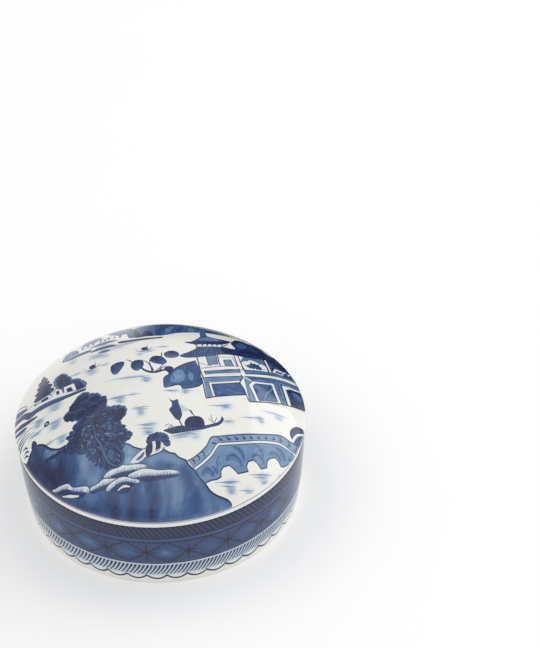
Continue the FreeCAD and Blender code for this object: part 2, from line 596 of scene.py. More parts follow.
line([(-27, 28.8), (-24.5, 29.5), (-22, 28.9), (-19.6, 29.7), (-17.4, 29.2), (-15, 29.8)],
    [0.4, 0.7, 0.4], 0.55)
line([(-26.4, 25.4), (-22.8, 25.7)], 0.5, 0.5)
dab([(-31.5, 22.3), (-27, 22.6), (-23, 22.4), (-22.6, 20.4), (-27, 20.1), (-31.5, 20.5)],
    0.6, 0.5, 0.4, 0)
hatch([(-31.5, 22.2), (-23, 22.3), (-23, 20.3), (-31.5, 20.6)], 78, 0.9, 0.3, 0.80, 0.2, 3)
line([(-32.4, 22.4), (-30, 23), (-26, 23), (-23, 22.4)], [0.2, 0.6, 0.4, 0.2], 0.04)
dab([(-13, 22.0), (-9, 21.6), (-4, 21.4), (0.5, 21.2), (3, 21.4), (2.6, 20.4), (-1, 19.9), (-6, 19.8),
    (-12.6, 20.2)], 0.74, 0.5, 0.4, 0)
hatch([(-12.8, 21.8), (1.5, 21.0), (1, 20.0), (-12.4, 20.3)], 78, 0.9, 0.3, 0.88, 0.2, 4)
line([(-12.4, 22.9), (-9.8, 23.1), (-7.5, 22.8), (-4, 22.4), (0, 22.2), (3, 21.7)], [0.3, 0.7, 0.7, 0.2],
    0.0)
for arch, wide in [
        ([(-23.6, 23.4), (-21.4, 25), (-18.4, 25.9), (-15.2, 25.2), (-12.6, 23.6)], 0.76),
        ([(-23.4, 19.2), (-21.8, 20.8), (-18.6, 21.9), (-15.2, 21), (-12.8, 19.2)], 0.84),
        ([(-20.6, 16.6), (-19.4, 17.7), (-17.9, 18), (-16.4, 17.6), (-15.3, 16.4)], 0.5)]:
    ridge = curve(arch, False, 0.5)
    foot_line = curve([arch[-1], (arch[2][0] + 0.4, arch[0][1] - 0.5), arch[0]], False, 0.5)
    paint(np.vstack([ridge, foot_line]), 0.70, 0.9, 0.5, 0)
    line(arch, [0.25, wide * 1.9, 0.25], 0.60)
    line(arch, [0.2, wide, 0.2], 0.03)
    for x, y in ridge[2:-2:2]:
        line([(x, y - 0.4), (x + 0.1, y - 1.1)], [0.3, 0.1], 0.60)

# %% Water below the far shore
ripples(-28.6, 17.8, 6, 3.4, 0, 0.30, 1)
ripples(-19, 14.6, 11, 3.2, -4, 0.36, 2)
ripples(-12.4, 17.4, 10, 2.6, -6, 0.32, 3)
ripples(-8, 18.9, 14, 1.4, 2, 0.34, 4)
ripples(-18.6, 13, 6, 2.0, -10, 0.26, 5)

# %% Far hills
hills = curve([(-7.3, 33), (-6.6, 35.2), (-3, 37.2), (2, 38.2), (6.5, 38.6), (12, 37), (18, 34.8),
    (24, 33.2), (28.2, 31.4), (27, 30.6), (22, 28.8), (18, 27.9), (12, 26.2), (8, 25.0), (4.4, 23.2),
    (2.2, 22.6), (-2, 22.9), (-7, 23)])
paint(hills, 0.55, 0.8, 0.35, 80)
for left, low, right, high, tone in [(1, 23.5, 3.2, 33, 0.66), (4.6, 25, 7, 34.5, 0.46),
        (8.5, 26, 10.5, 35, 0.62), (13, 27, 14.4, 34.5, 0.46), (18.8, 28.6, 20.4, 33, 0.62)]:
    paint(stroke([(left, low), ((left + right) / 2 - 0.6, (low + high) / 2), (right, high)],
        [1.4, 2.6, 0.6]), tone, 0.8, 0.3, 78)
dab([(-7.1, 33), (-6.3, 31), (-5.4, 28), (-5, 23.1), (-7, 23)], 0.88, 0.4, 0.3, 85)
dab([(-4.6, 23.2), (-4.2, 26.2), (-3.6, 28.4), (-2.8, 29.1), (-1.8, 28.1), (-0.8, 25), (-0.6, 23.2)],
    0.9, 0.4, 0.3, 85)
line([(-7, 23.1), (-2, 22.95), (2.6, 22.7)], 0.35, 0.85)
print(len(marks), "marks")

# %% [markdown]
# ## Left shore
# A pine and a grove stand on a bank with two small houses, and rocks and reeds run out to the
# left.  Foliage is an outline with a cusp at each point; the grove is laid twice, pale and then
# dark, so that a pale rim is left as on the real one.  The houses are bare porcelain laid over
# the blue, and short upright hatching shades the bank.

# %% Pine and grove
pine = [(-40.2, 19.4), (-39.4, 16.6), (-38.4, 14.9), (-39, 13.9), (-37.7, 12), (-38.4, 11), (-36.7, 8.6),
    (-37.7, 7.6), (-36, 5.4), (-36.4, 4.5), (-38, 3.9), (-39.6, 3.7), (-41, 3.8), (-42.2, 3.9),
    (-43.2, 4.4), (-43.7, 5.6), (-42.4, 7.3), (-43.4, 8.6), (-41.9, 10.2), (-42.7, 11.9), (-41.5, 13.2),
    (-42.2, 15), (-41, 16.3)]
paint(lobes(pine, 0.10, 4), 0.82, 0.9, 0.5, 90)
grove = [(-36, 11), (-35.6, 12), (-34.6, 12.6), (-33, 12.5), (-32.2, 11.2), (-31.2, 9), (-30.2, 7.6),
    (-29.9, 5.6), (-28.4, 5.2), (-27.1, 4.4), (-26.4, 3), (-25.2, 1.6), (-24.7, -1), (-25.5, -2.2),
    (-28.5, -1.4), (-32, 0), (-34.6, 3.4), (-35.6, 6), (-36.2, 8.6)]
paint(lobes(grove, 0.22, 4), 0.50, 0.3, 0.4)
paint(lobes([(-35, 10.6), (-33.6, 12), (-32.6, 11), (-31.6, 8.8), (-30.6, 7), (-30.2, 5), (-28, 4.2),
    (-26.8, 2.4), (-26, 0.6), (-25.6, -1.6), (-30, -0.6), (-33, 3), (-34.6, 6), (-35.2, 8.4)], 0.18, 4),
    0.82, 0.9, 0.6, 70)

# %% Houses on the left
bare([(-35.2, 4.8), (-36.7, 3), (-36.3, 0.9), (-33, 0.4), (-33.7, 3.1)])
rule([(-36.7, 3), (-35.2, 4.8), (-33.7, 3.1)], 0.35, 0.88)
paint([(-35.5, 3.1), (-34.5, 3.2), (-34.2, 1), (-35.3, 1.1)], 0.86)
bare([(-32.7, 3.3), (-29, 3.0), (-28.2, -1.3), (-32.4, 0.1)])
paint([(-31.8, 1.8), (-30.1, 1.75), (-29.3, -0.8), (-31.5, -0.3)], 0.85)
rule([(-32.7, 3.5), (-29, 3.2), (-28.3, 0.4)], 0.3, 0.85)
paint([(-43.4, 3.8), (-38, 3.9), (-36.6, 3), (-36.4, 0.9), (-43.2, 1.9)], 0.14, 0.5, 0.4)
paint([(-41, 3.4), (-38.6, 3.3), (-38.2, 1.5), (-40.6, 1.8)], 0.80, 0.6, 0.5)
line([(-43.4, 3.8), (-43, 1.9)], 0.35, 0.74)
line([(-38, 3.9), (-37, 2.6)], 0.35, 0.74)
bare([(-45, 2.3), (-41, 1.9), (-36, 0.7), (-32, -0.1), (-28.2, -1.6), (-25, -1.7), (-25.2, -2.4),
    (-30, -1.9), (-36, -0.5), (-41, 0.6), (-45, 1)])

# %% Bank and rocks on the left
bank = [(-46, 0.6), (-40, 0.5), (-35, -0.6), (-30.7, -1.6), (-24.9, -2.1), (-24.8, -3), (-30, -3),
    (-35, -2.5), (-40, -1.8), (-43.2, -1.4), (-45.6, -1.2)]
dab(bank, 0.56, 0.6, 0.5, -6)
hatch(bank, 78, 0.85, 0.34, 0.84, 0.2, 6)
line([(-44, -1.5), (-38, -2.1), (-32, -2.9), (-25, -3.1)], [0.3, 0.5, 0.4], 0.9)
for rock, tone in [
        ([(-53, 6.5), (-50, 6.6), (-48, 6), (-46, 4.8), (-46.2, 3.9), (-48, 3.4), (-50, 3.6), (-53, 3.8)],
            0.66),
        ([(-53, 2.8), (-49.5, 3), (-47.5, 2.9), (-45, 1.2), (-43.6, -0.4), (-42.8, -1.8), (-45.5, -2.1),
            (-46.7, -1), (-47.4, 0), (-49.2, 0.3), (-53, 0.2)], 0.76),
        ([(-53, -1.4), (-49.7, -1.6), (-48.5, -1.4), (-47, -2), (-43.7, -2.9), (-42.1, -3.7),
            (-44.5, -4.3), (-47.5, -3.9), (-49.7, -3.4), (-53, -3.4)], 0.76),
        ([(-53, -4.4), (-49.7, -4.4), (-47.5, -4.4), (-46.1, -5.2), (-47.5, -6.1), (-49.7, -5.9),
            (-53, -5.8)], 0.72)]:
    dab(rock, tone, 0.9, 0.5, -8)
    hatch(rock, 70, 0.8, 0.26, tone - 0.3, 0.3, 17)
line([(-50, 4.6), (-47.6, 4.4), (-46.4, 3.4), (-43.6, 3.9), (-42.8, 3.1), (-40.4, 2.4)], [0.5, 0.35, 0.3],
    0.8)
line([(-52, 8.4), (-49, 8.2), (-47, 6.9), (-46, 5.4)], [0.4, 0.7, 0.3], 0.45)

# %% Reeds and water on the left
for stem in [
        [(-50.5, -11.4), (-49.4, -10), (-48, -8.4), (-46.2, -7.2), (-44.2, -6.9)],
        [(-50.6, -8.4), (-48.6, -6.9), (-46.4, -6.4)],
        [(-49.4, -14), (-48.2, -11.5), (-46.5, -9.9), (-43.6, -9.7)],
        [(-50, -12.6), (-48.8, -10.6), (-47.2, -9), (-45.2, -8.5)]]:
    line(stem, [0.7, 0.5, 0.25], 0.55)
for x, y in [(-47.1, -13.9), (-46.7, -15.6), (-46.9, -17.1)]:
    line([(x - 0.9, y + 0.1), (x, y + 0.5), (x + 1, y - 0.4)], [0.3, 0.9, 0.3], 0.6)
dab([(-40.1, -10), (-39.5, -8.9), (-38.5, -9), (-38.1, -10.2), (-38.9, -11), (-39.8, -10.8)],
    0.8, gap=0.4)
dab([(-39.5, -9.8), (-39.1, -9.4), (-38.8, -9.9), (-39.1, -10.3)], 0.15, gap=0.4)
water([(-37, -4.4, 9, 3.6, -3, 0.40), (-42.8, -7.2, 7, 3.4, -12, 0.42), (-37, -12.3, 8, 3.6, 0, 0.42),
    (-42.4, -11.2, 8, 0.9, 0, 0.5), (-34.6, -19.3, 6, 2.8, 0, 0.42), (-38, -18.2, 7, 0.9, 0, 0.4),
    (-23.3, 5.2, 7, 2.8, 0, 0.36), (-27.6, 7.6, 6, 0.8, 0, 0.42), (-18.5, 7.4, 5, 0.7, 0, 0.36)])
print(len(marks), "marks")

# %% [markdown]
# ## Middle of the river
# Leaves on a bent branch hang over open water with a few boats.  Each leaf is one loaded dab
# of the brush, dark where it starts and pale where it lifts.  Two marks for each would leave an
# edge between dark and pale, so these marks fade along their length instead.

# %% Leaves and branch
for leaf, direction in [
        ([(-15.7, 5.6), (-14, 6.7), (-11.9, 6.8), (-11.1, 6.2), (-11.3, 4.4), (-12.5, 2), (-14, 0.1),
            (-15.2, 0.5), (-16, 3)], -72),
        ([(-8.7, 4.8), (-7.6, 6), (-6, 6.1), (-4.8, 5.3), (-4.4, 3.5), (-5, 1.4), (-6.5, 0), (-7.9, 0.5),
            (-8.9, 2.5)], -78),
        ([(-2.4, 5), (-1.4, 7.1), (0.2, 7.5), (1.9, 6.8), (3.2, 5), (3.6, 3.4), (2.5, 2.1), (1, 2.4),
            (-0.9, 3.2)], -75),
        ([(2.7, 8.4), (4, 10), (5.8, 10.4), (7.3, 9.7), (8.1, 8), (7.4, 6.3), (5.5, 5.7), (3.4, 6.2)],
            -82)]:
    dab(leaf, 0.86, 0.8, 0.4, direction, (0.46, direction), gap=0.6)
line([(-5.5, 1.8), (-4.6, 0.2), (-3, -1.1), (-0.8, -1.7), (1, -1.3), (2.5, -0.8), (3.5, -1.2),
    (4.2, -2.6)], [0.6, 1.1, 1.0, 0.7], 0.78)
for stem in [
        [(-1.7, -1.2), (-2.1, 1.6), (-3.2, 4), (-5.2, 6)], [(-8.5, 5.4), (-9.4, 6.6), (-10.6, 7.4)],
        [(-1.2, -0.8), (-2.3, 3), (-2.2, 5.5)], [(-0.4, -1.2), (1.4, 0.8), (2.2, 3)],
        [(1.8, 6.8), (2.1, 9.5)], [(0.6, -1.3), (1.8, 0.4), (3.2, 1.2)]]:
    line(stem, [0.5, 0.3], 0.70)
dab([(2.9, 0.7), (4.3, 1.1), (5.6, 0.3), (5.5, -1.3), (4.3, -3), (3.4, -1.6), (2.5, -0.7)],
    0.8, 0.6, 0.5, gap=0.6)
ripples(-10.5, -2.8, 17, 0.9, -4, 0.42)
ripples(-4.6, -4.6, 6, 2.2, -22, 0.42)

# %% Small boats
for x, y in [(-22.4, 8.4), (-3.9, 12.8)]:
    dab([(x - 1.3, y - 0.1), (x - 0.7, y + 1), (x + 0.3, y + 1.3), (x + 1.2, y + 0.7), (x + 1.1, y - 0.6),
        (x, y - 1.2)], 0.8, 0.6, 0.6, gap=0.6)
    line([(x - 2.8, y - 1), (x - 1.2, y - 1.5), (x + 0.4, y - 1.3), (x + 1.8, y - 0.5),
        (x + 2.8, y + 0.8)], [0.15, 0.6, 0.5, 0.15], 0.6)
    line([(x + 1, y + 0.6), (x + 1.1, y + 2.6)], [0.35, 0.15], 0.6)
    line([(x - 3.2, y + 0.8), (x - 2.2, y - 0.5)], 0.22, 0.4)
ripples(-4, 11.0, 9, 1.6, 3, 0.38)
ripples(-6, 9.4, 4, 1.6, 0, 0.30)
ripples(2, 13.2, 6, 0.9, 8, 0.38)

# %% Sailing boat
sail = [(3.3, -14.4), (4.6, -15.2), (5.6, -14.9), (6.3, -14.5), (6.6, -16.2), (7.3, -19), (7.5, -20.6),
    (6.9, -22.2), (6.1, -22.9), (5, -22.2), (3.8, -20.2), (3.1, -18.7), (4.1, -17.6), (4.2, -16)]
dab(sail, 0.7, 0.5, 0.5, 20, gap=0.7)
hatch(sail, 24, 0.85, 0.34, 0.84, 0.15, 8)
line([(6.3, -22.6), (6.7, -23.8), (7.3, -25.2)], 0.45, 0.85)
line([(7.1, -16.8), (8.6, -18.2), (10.2, -18.9)], 0.25, 0.42)
line([(7.2, -17.6), (9, -18.7), (10.2, -19.2)], 0.2, 0.36)
paint([(7.2, -17.2), (10, -19), (7.3, -20)], 0.16, 0.6, 0.4)
line([(10.3, -19.0), (10.9, -20.2), (11.9, -21.4)], [0.8, 0.35, 0.3], 0.66)
hull = [(0.8, -26.4), (3, -25.7), (6, -25), (9, -25), (12, -25), (15, -24.2), (17.5, -23.3),
    (19.5, -22.3), (20.5, -21), (20.9, -19.8), (21.5, -20.8), (20.9, -22.3), (19.3, -23.7), (17, -24.6),
    (14, -25.8), (10, -26.7), (6, -27.4), (3.5, -27.7), (2, -27.1)]
dab(hull, 0.68, 0.5, 0.5, 12)
hatch(hull, 72, 0.75, 0.34, 0.86, 0.2, 9)
line(hull[:6], 0.3, 0.86)
dab([(8, -24.3), (8.3, -23), (9.5, -21.7), (11.5, -21.1), (13.5, -21.2), (14.6, -22.2), (14.8, -24),
    (14, -25), (11, -25.4), (8.8, -25.2)], 0.84, 0.8, 0.7, 60)
for knot in [
        [(17.2, -20.2), (17.4, -21.8), (18.2, -23)], [(16.2, -21.6), (17.2, -22.4), (18, -23.1)],
        [(19.2, -20.8), (18.6, -21.8), (18.4, -22.9)],
        [(1.4, -24.8), (2.6, -24.1), (3.7, -24.6), (4.2, -25.8)],
        [(2.4, -25.4), (3.4, -24.9), (5, -25.8)]]:
    line(knot, [0.3, 0.2], 0.5)

# %% Open water
water([(8.5, -27.9, 13, 1.5, 12, 0.44), (10.5, -28.2, 6, 2.2, 8, 0.32), (-13, -11.0, 10, 0.8, 0, 0.46),
    (-14, -12.3, 6, 2.4, -4, 0.42), (-8.5, -11, 6, 0.6, 0, 0.36), (4, -11, 7, 0.8, 0, 0.42),
    (9.8, -11.3, 5, 1.8, -6, 0.44), (-6, -17.1, 8, 0.9, 0, 0.46), (-5.8, -18.8, 5, 2.6, 0, 0.42),
    (-5, -23.8, 9, 0.9, 0, 0.46), (-5, -26, 7, 2.6, -4, 0.40), (20.4, -15.9, 11, 0.5, 12, 0.36),
    (23.2, -15.6, 6, 1.8, 18, 0.46), (40, -12.1, 12, 0.5, 13, 0.32), (41.5, -12.8, 6, 2.4, 14, 0.32),
    (31, -17.7, 10, 0.5, 16, 0.34), (33.8, -17.4, 4, 2.2, 14, 0.46), (22.6, -21.6, 6, 1.0, 18, 0.38)])
print(len(marks), "marks")

# %% [markdown]
# ## Pavilion
# The pavilion stands at a slant, so its long lines all rise to the right.  It could be built
# from one repeated window, but the painter drew each panel differently, and so do these marks.
# The whole house is first left white; then come panels in mid blue, dark lines round them and
# the two roofs, mid blue with dark ribs.

# %% Trees behind
paint(lobes([(28.2, 14.2), (28.6, 17), (28.3, 19.2), (27.1, 20.8), (26.9, 22.8), (27.6, 25), (28.4, 27.2),
    (29.8, 28.9), (31.4, 29.4), (33, 29.1), (35, 30.2), (37.4, 29.8), (38.6, 27.4), (40, 25.6),
    (41.6, 26), (42.4, 28.2), (44, 30.4), (46.5, 25), (49.5, 19.4), (48.8, 18.4), (47, 17), (44.4, 14.8),
    (42, 14.3), (38.4, 17.3), (34, 15), (30, 13.3)], 0.14, 4), 0.80, 0.7, 0.6, 60)
dab([(28.4, 21), (29, 24), (30.2, 26.2), (31.8, 25.4), (32, 22.6), (31, 20.4), (29.4, 19.8)],
    0.56, 0.8, 0.8)
for x, y in [(29.6, 23.2), (33.6, 27), (36.4, 27.4), (34.4, 24), (37.6, 23.4), (40.4, 22.4), (43, 23.8),
        (36, 20.4), (41, 19.6), (45, 20.4)]:
    line([(x - 1.6, y - 0.7), (x - 0.3, y + 0.7), (x + 1.5, y - 0.5)], [0.2, 0.5, 0.2], 0.92)

# %% Rock before the pavilion
rock = curve([(2.1, -9.4), (2.0, -7), (2.2, -4.8), (3, -4), (4.2, -2.8), (4.8, -1.7), (5.8, -0.5), (8, 1),
    (9.6, 2.3), (11.5, 3.2), (13.3, 4.3), (14.4, 4.9), (14.8, 0), (15.6, -4), (15.3, -6.6), (14, -8.3),
    (11, -9.6), (8.1, -9.9), (8, -9), (7, -8.2), (5, -8.8)])
paint(rock, 0.58, 0.7, 0.4, 65)
dab([(9.5, 2), (13.8, 4.2), (14.4, 0), (15, -4.2), (14.6, -7), (12.4, -6), (11.6, -2), (10.4, 0.4)],
    0.66, 0.7, 0.3, 80)
for highlight in [
        [(4.6, -4.4), (6, -2), (7.8, -0.6), (9.2, -2), (9.6, -4.4), (8.4, -6.6), (6, -7.4), (4.6, -6.6)],
        [(10.6, -3), (11.8, -2), (12.4, -4), (11.8, -6.4), (10.8, -5.4)]]:
    dab(highlight, 0.42, 0.8, 0.4, 70)
dab([(5.8, -4.6), (7, -3), (8, -4), (7.6, -5.6), (6.4, -5.8)], 0.35, 0.6, 0.4)
line([(2.0, -9.2), (2.0, -6.6), (2.3, -4.7), (4.3, -2.8), (6, -0.5), (9.6, 2.4), (13.3, 4.4), (14.5, 5)],
    [0.3, 0.45, 0.5], 0.78)
line([(2.2, -9.5), (5, -8.8), (7, -8.2), (8, -8.9), (8.2, -9.9), (11, -9.6), (14, -8.3), (15.3, -6.5)],
    [0.35, 0.5], 0.82)
line([(4.4, -2.9), (5.4, -4.2), (5.2, -6)], [0.5, 0.2], 0.68)
line([(9.6, 2.2), (10.6, -0.4), (10, -3.4)], [0.4, 0.2], 0.68)

# %% Pavilion walls
bare([(13.8, 7.5), (27.4, 12.7), (30.6, 13.6), (38, 17.6), (44, 15), (50, 18), (52.5, 11), (53, -2),
    (51, -1.6), (46, -4.2), (36.5, -8.8), (30.9, -11.2), (29.8, -8.5), (20, -12.1), (16.2, -13.6),
    (15, -4.4), (14.9, 0), (13.6, 4)])
paint([(29.2, 9), (30.4, 13.4), (34, 15.2), (38, 17.6), (38.8, 12), (39.3, 9.2), (34, 6.4), (29.6, 4.6)],
    0.50, 0.7, 0.3, 60)
flower = [(30, 6.4), (29.8, 8), (30.4, 9.9), (32, 10.9), (32.6, 12.2), (34.3, 12.7), (36, 11.9),
    (37.2, 12.7), (38.5, 12.2), (38.9, 9.9), (38.4, 8.7), (37, 8.2), (35.6, 7), (34, 6.7), (32, 5.7),
    (30.6, 5.4)]
bare(lobes(flower, 0.2, 4))
paint(lobes([(31.4, 7.8), (32.4, 8.6), (32.8, 9.8), (33.7, 10.6), (34.8, 11), (36, 10.4), (36.5, 9.1),
    (35.6, 8), (34.2, 8.2), (33, 7.2), (32, 7)], 0.4, 3), 0.66, 0.8, 0.9)
for petal in [
        [(31.3, 7.6), (30.4, 8.4)], [(33.2, 10.6), (33, 11.8)], [(35.4, 10.8), (36, 11.8)],
        [(36.6, 9), (38, 9.6)]]:
    line(petal, [0.5, 0.2], 0.62)
rule([(28.8, 3.8), (34, 6), (39.5, 9), (41.5, 10.4)], 0.35)

# %% Pavilion windows
rule([(14, 7.5), (14.4, 4), (14.9, -0.6), (15.8, -5)], 0.42)
windows = [
    [(17.2, 8.4), (20.9, 9.8), (21.2, 4.2), (17.9, 3.0)],
    [(23.3, 7.6), (25.9, 8.9), (26.8, 4.9), (23.9, 3.5)]]
for window, tone in zip(windows, (0.42, 0.46)):
    framed(window, 0.31, tone, 0.7, 0.4, 70)
line([(14.4, 3.8), (17.6, 2.7), (19, 3)], [0.2, 0.35], 0.6)
rule([(21.4, 10), (21.6, 6), (22.2, 2.6)], 0.42)
rule([(21.9, 8.9), (26.6, 10.9), (28.3, 4)], 0.32, 0.62)
rule([(27.2, 12.7), (28, 7), (29.2, -0.2)], 0.42)
rule([(28.6, 13.1), (29.3, 8.6), (30.4, 4)], 0.38)

# %% Right end of the pavilion
paint([(37.4, 17.8), (38.9, 9.2), (41, 10.3), (39.3, 18)], 0.88)
bare([(38.0, 17.6), (39.5, 9.6), (40.2, 10.0), (38.7, 17.7)])
paint([(40.4, 10.4), (39.2, 18), (44, 15.6), (50, 19.6), (53, 16), (52.6, 13), (46, 11)],
    0.66, 0.8, 0.7, 30)
for leaf in [
        [(41, 15.6), (42.4, 16.2)], [(44.8, 16.4), (46, 17.2)], [(40.6, 13), (41, 14.4)],
        [(47.6, 14.8), (49.4, 15.6)]]:
    line(leaf, [0.3, 0.6, 0.3], 0.82)
framed([(40.3, 10.2), (41.4, 14.2), (44.5, 15.6), (45.2, 12.6), (43.2, 11.2)], 0.3, 0.03, 0, 0)
paint([(41.3, 11.2), (42.1, 13.3), (43.9, 14.2), (44.2, 12.7), (42.9, 11.8)], 0.70, 0.6, 0.5)
dab([(42.2, 12.2), (42.7, 13.2), (43.5, 13.4), (43.2, 12.5)], 0.4, gap=0.6)
paint([(44, 16), (46, 18), (50, 19), (51.5, 14), (48, 12.6), (44.6, 11)], 0.58, 0.7, 0.3, 30)
rule([(44.2, 13.8), (45.4, 16), (46.2, 14.8), (47.2, 17.2), (48.2, 16), (49, 17.8)], 0.55, 0.03)
rule([(45, 12.8), (46.4, 14), (48, 14.2), (50, 16)], 0.34)

# %% Balustrade
rule([(15, -0.1), (21, 2.3), (28.7, 5.2)], 1.1, 0.03)
rule([(15, 0.5), (21, 2.9), (28.6, 5.8)], 0.3, 0.6)
framed([(16.2, -0.9), (28.3, 3.8), (28.9, 1.5), (16.8, -3.0)], 0.42, 0.48, 0.8, 0.3, 21)
paint([(15.7, -4.1), (29.4, 0.5), (28.6, -1.7), (16.3, -6.3)], 0.44, 0.7, 0.3, 21)
rule([(15.8, -4.2), (29.5, 0.6)], 0.3)
rule([(16, -3.2), (29, 1.8), (33, 3.2), (38, 6.1), (43, 9.1), (48, 12.1), (50, 13.4)], 0.75, 0.03)
bare([(17, -6.6), (28.7, -2.4), (30.3, -8.4), (18.2, -12.9)])
framed([(18.4, -6.9), (28.4, -3.2), (29.9, -8.3), (19.2, -12.2)], 0.30, 0.60, 0.9, 0.6, 15)
paint([(15.6, -4.9), (17.2, -6.6), (18.2, -12.7), (16.4, -13.5)], 0.39, 0.7, 0.3, 85)
rule([(17.3, -6.5), (18.5, -12.9)], 0.3)
rule([(15.1, -4.2), (15.5, -8), (16.1, -13.6)], 0.42)
rule([(16, -13.6), (20, -12.1), (25, -10.3), (30, -8.4)], 0.42)
rule([(16.4, -6.5), (28.6, -1.9)], 0.34)
rule([(29.7, 0.6), (28.2, -3.2), (29.5, -6), (30.8, -11)], 0.42)

# %% Right side of the balustrade
right_bar = [(30.2, 4.4), (36, 7.4), (40, 9.5), (44, 11.8), (49, 15), (52, 14), (46, 11.3), (42, 9.0),
    (38, 6.6), (34, 4.2), (30.6, 2.4)]
paint(right_bar, 0.48, 0.8, 0.3, 28)
rule(right_bar[:5], 0.34)
rule([(30.2, 4.4), (30.6, 2.4), (34, 4.2), (38, 6.6), (42, 9.0), (46, 11.3), (52, 14.4)], 0.38)
paint([(29.8, 0.9), (34, 2.6), (40, 5.8), (44, 8.1), (50, 11.9), (52.8, 11), (52.6, 8.8), (50, 8.0),
    (44, 4.9), (40, 2.6), (33, -0.6)], 0.50, 0.8, 0.3, 28)
rule([(30.2, 0.9), (34, 2.6), (40, 5.8), (44, 8.1), (50, 11.9)], 0.34)
rule([(31.2, 1.0), (36, 2.8), (41, 5.4), (47, 8.6), (52, 10.6)], 0.3)
paint([(29.8, 0.4), (32.4, -0.8), (31.2, -3), (33.6, -9.6), (30.9, -11)], 0.40, 0.8, 0.3, 85)
frame_two = [(33.4, -9.9), (31.2, -3), (32.7, -0.4), (40.4, 3.2), (42.3, -5.9)]
bare(frame_two)
rule(frame_two, 0.3)
framed([(34.4, -9.1), (32.7, -2.8), (33.9, -1.1), (39.3, 1.5), (41.1, -6)], 0.30, 0.58, 0.8, 0.7, 60)
dab([(34.4, -2.4), (36, -1), (37.6, -1.4), (37, -3), (35.4, -3.6)], 0.62, 0.5, 0.6)
paint([(40.4, 4.2), (42.8, 5.2), (44.4, -4.9), (42.3, -5.7)], 0.48, 0.8, 0.3, 80)
rule([(40.2, 4.0), (42.3, -5.8)], 0.34)
rule([(43.0, 5.2), (44.5, -4.9)], 0.38)
rule([(41.7, 4.4), (43.3, -5.2)], 0.22, 0.72)
bare([(43.5, 4.6), (46, 6.2), (50.5, 8.9), (53, 8), (53.2, -1.6), (51, -1.6), (45, -4.6)])
dark_three = [(44.6, 3.1), (46.2, 4.9), (50, 7.2), (52.8, 6.2), (53.2, 0), (51.4, -1.9), (45.8, -4.4)]
paint(dark_three, 0.72, 0.8, 0.6, 50)
rule(dark_three[:3], 0.3)
dab([(46.4, 3.2), (48.4, 4.6), (50.4, 4), (49.6, 1.6), (47.6, 0.6)], 0.55, 0.6, 0.5, gap=0.9)
line([(45.6, 3.6), (48, 1), (50.6, -1.4)], 0.4, 0.92)
rule([(30.8, -11.1), (36.5, -8.8), (42, -6.2), (46, -4.4), (51, -1.8), (53.2, -0.6)], 0.47)
# painted reflection: a thin pale line down the panel, the edge of a bright reflection on the glaze
line([(40, 1.2), (38.8, -2), (37.2, -4.6), (36.4, -8.6)], 0.28, 0.35)

# %% Upper roof
upper_roof = curve([(10.3, 16.9), (12.5, 17.7), (14, 19.3), (15, 20.9), (15.8, 22.6), (16.1, 24.2),
    (15.9, 26), (16.2, 28), (17.4, 28.6), (17.9, 26.5), (18.3, 24.8), (19.6, 24.2), (21.5, 23.9),
    (23, 23.3), (25, 23.6), (26.9, 24), (26.2, 22.3), (24.6, 20.3), (23.5, 19.3), (22, 18.5), (20, 17.5),
    (17.5, 16.4), (14.5, 15.6), (12, 15.9)], True, 0.9)
paint(upper_roof, 0.52, 0.7, 0.3, 68)
dab([(10.3, 16.9), (12.6, 17.5), (15, 18), (18, 19), (21, 20.4), (24, 22), (25.8, 23.4), (26.2, 22.3),
    (24.6, 20.3), (22, 18.5), (20, 17.5), (17.5, 16.4), (14.5, 15.6), (12, 15.9)],
    0.72, 0.6, 0.5, 68, gap=0.9)
hatch([(11.4, 17), (15, 20), (16, 22.4), (21.5, 23.5), (25.5, 23), (23.5, 19.6), (20, 17.7),
    (14.5, 15.8)], 70, 0.95, 0.36, 0.88, 0.12, 12)
line([(10.3, 16.7), (14.5, 15.7), (17.5, 16.4), (20, 17.5), (23.5, 19.3), (26.2, 22.3)], 0.42, 0.84)
dab([(14.9, 19.4), (16.4, 21.4), (17.6, 22.8), (20.4, 23.1), (22.8, 22.6), (21.8, 21.4), (19.4, 20.8),
    (16.8, 19.9)], 0.4, 0.8, 0.5, 30)
dab([(21.4, 23.4), (23.2, 22.9), (25.4, 22.8), (26.9, 24.1), (25, 24), (23, 23.9)], 0.92, gap=0.7)
line([(16.1, 24.2), (17, 23.4), (18.3, 24.6)], 0.4, 0.85)
line([(16.2, 28.2), (17.4, 28.6), (17.9, 26.4), (18.3, 24.8)], 0.4, 0.85)

# %% Lower roof
lower_roof = curve([(8.2, 7.2), (9.5, 8.6), (11, 9.6), (12.5, 11), (14, 12.7), (14.3, 14.2), (16, 14.5),
    (20, 15.9), (24, 17.1), (28.4, 19.6), (29.4, 17), (38, 17.8), (34, 15.2), (30, 13.5), (27.2, 12.9),
    (24, 11.8), (20, 9.8), (16, 7.8), (13, 6.8), (10, 6.4)])
paint(lower_roof, 0.60, 0.6, 0.5, 66)
dab([(22.6, 16.7), (25, 17.4), (28.4, 19.6), (29.4, 17), (38, 17.8), (34, 15.2), (30, 13.5), (27.2, 12.9),
    (24.4, 12), (23.2, 14.2)], 0.78, 0.6, 0.5, 66)
hatch([(9, 7.6), (12.5, 10.8), (14.6, 14), (24, 16.8), (28.4, 19), (29.4, 16.8), (36, 16.6), (30, 13.7),
    (27, 13.1), (24, 12), (20, 10), (16, 8), (10, 6.7)], 62, 0.95, 0.36, 0.88, 0.12, 13)
line([(8.2, 7), (10, 6.3), (13, 6.7), (16, 7.7), (20, 9.7), (24, 11.7), (27.2, 12.8), (30, 13.4),
    (34, 15.1), (38, 17.6)], 0.45, 0.84)
line([(14.3, 14.2), (14.2, 16), (14.8, 17)], 0.45, 0.85)
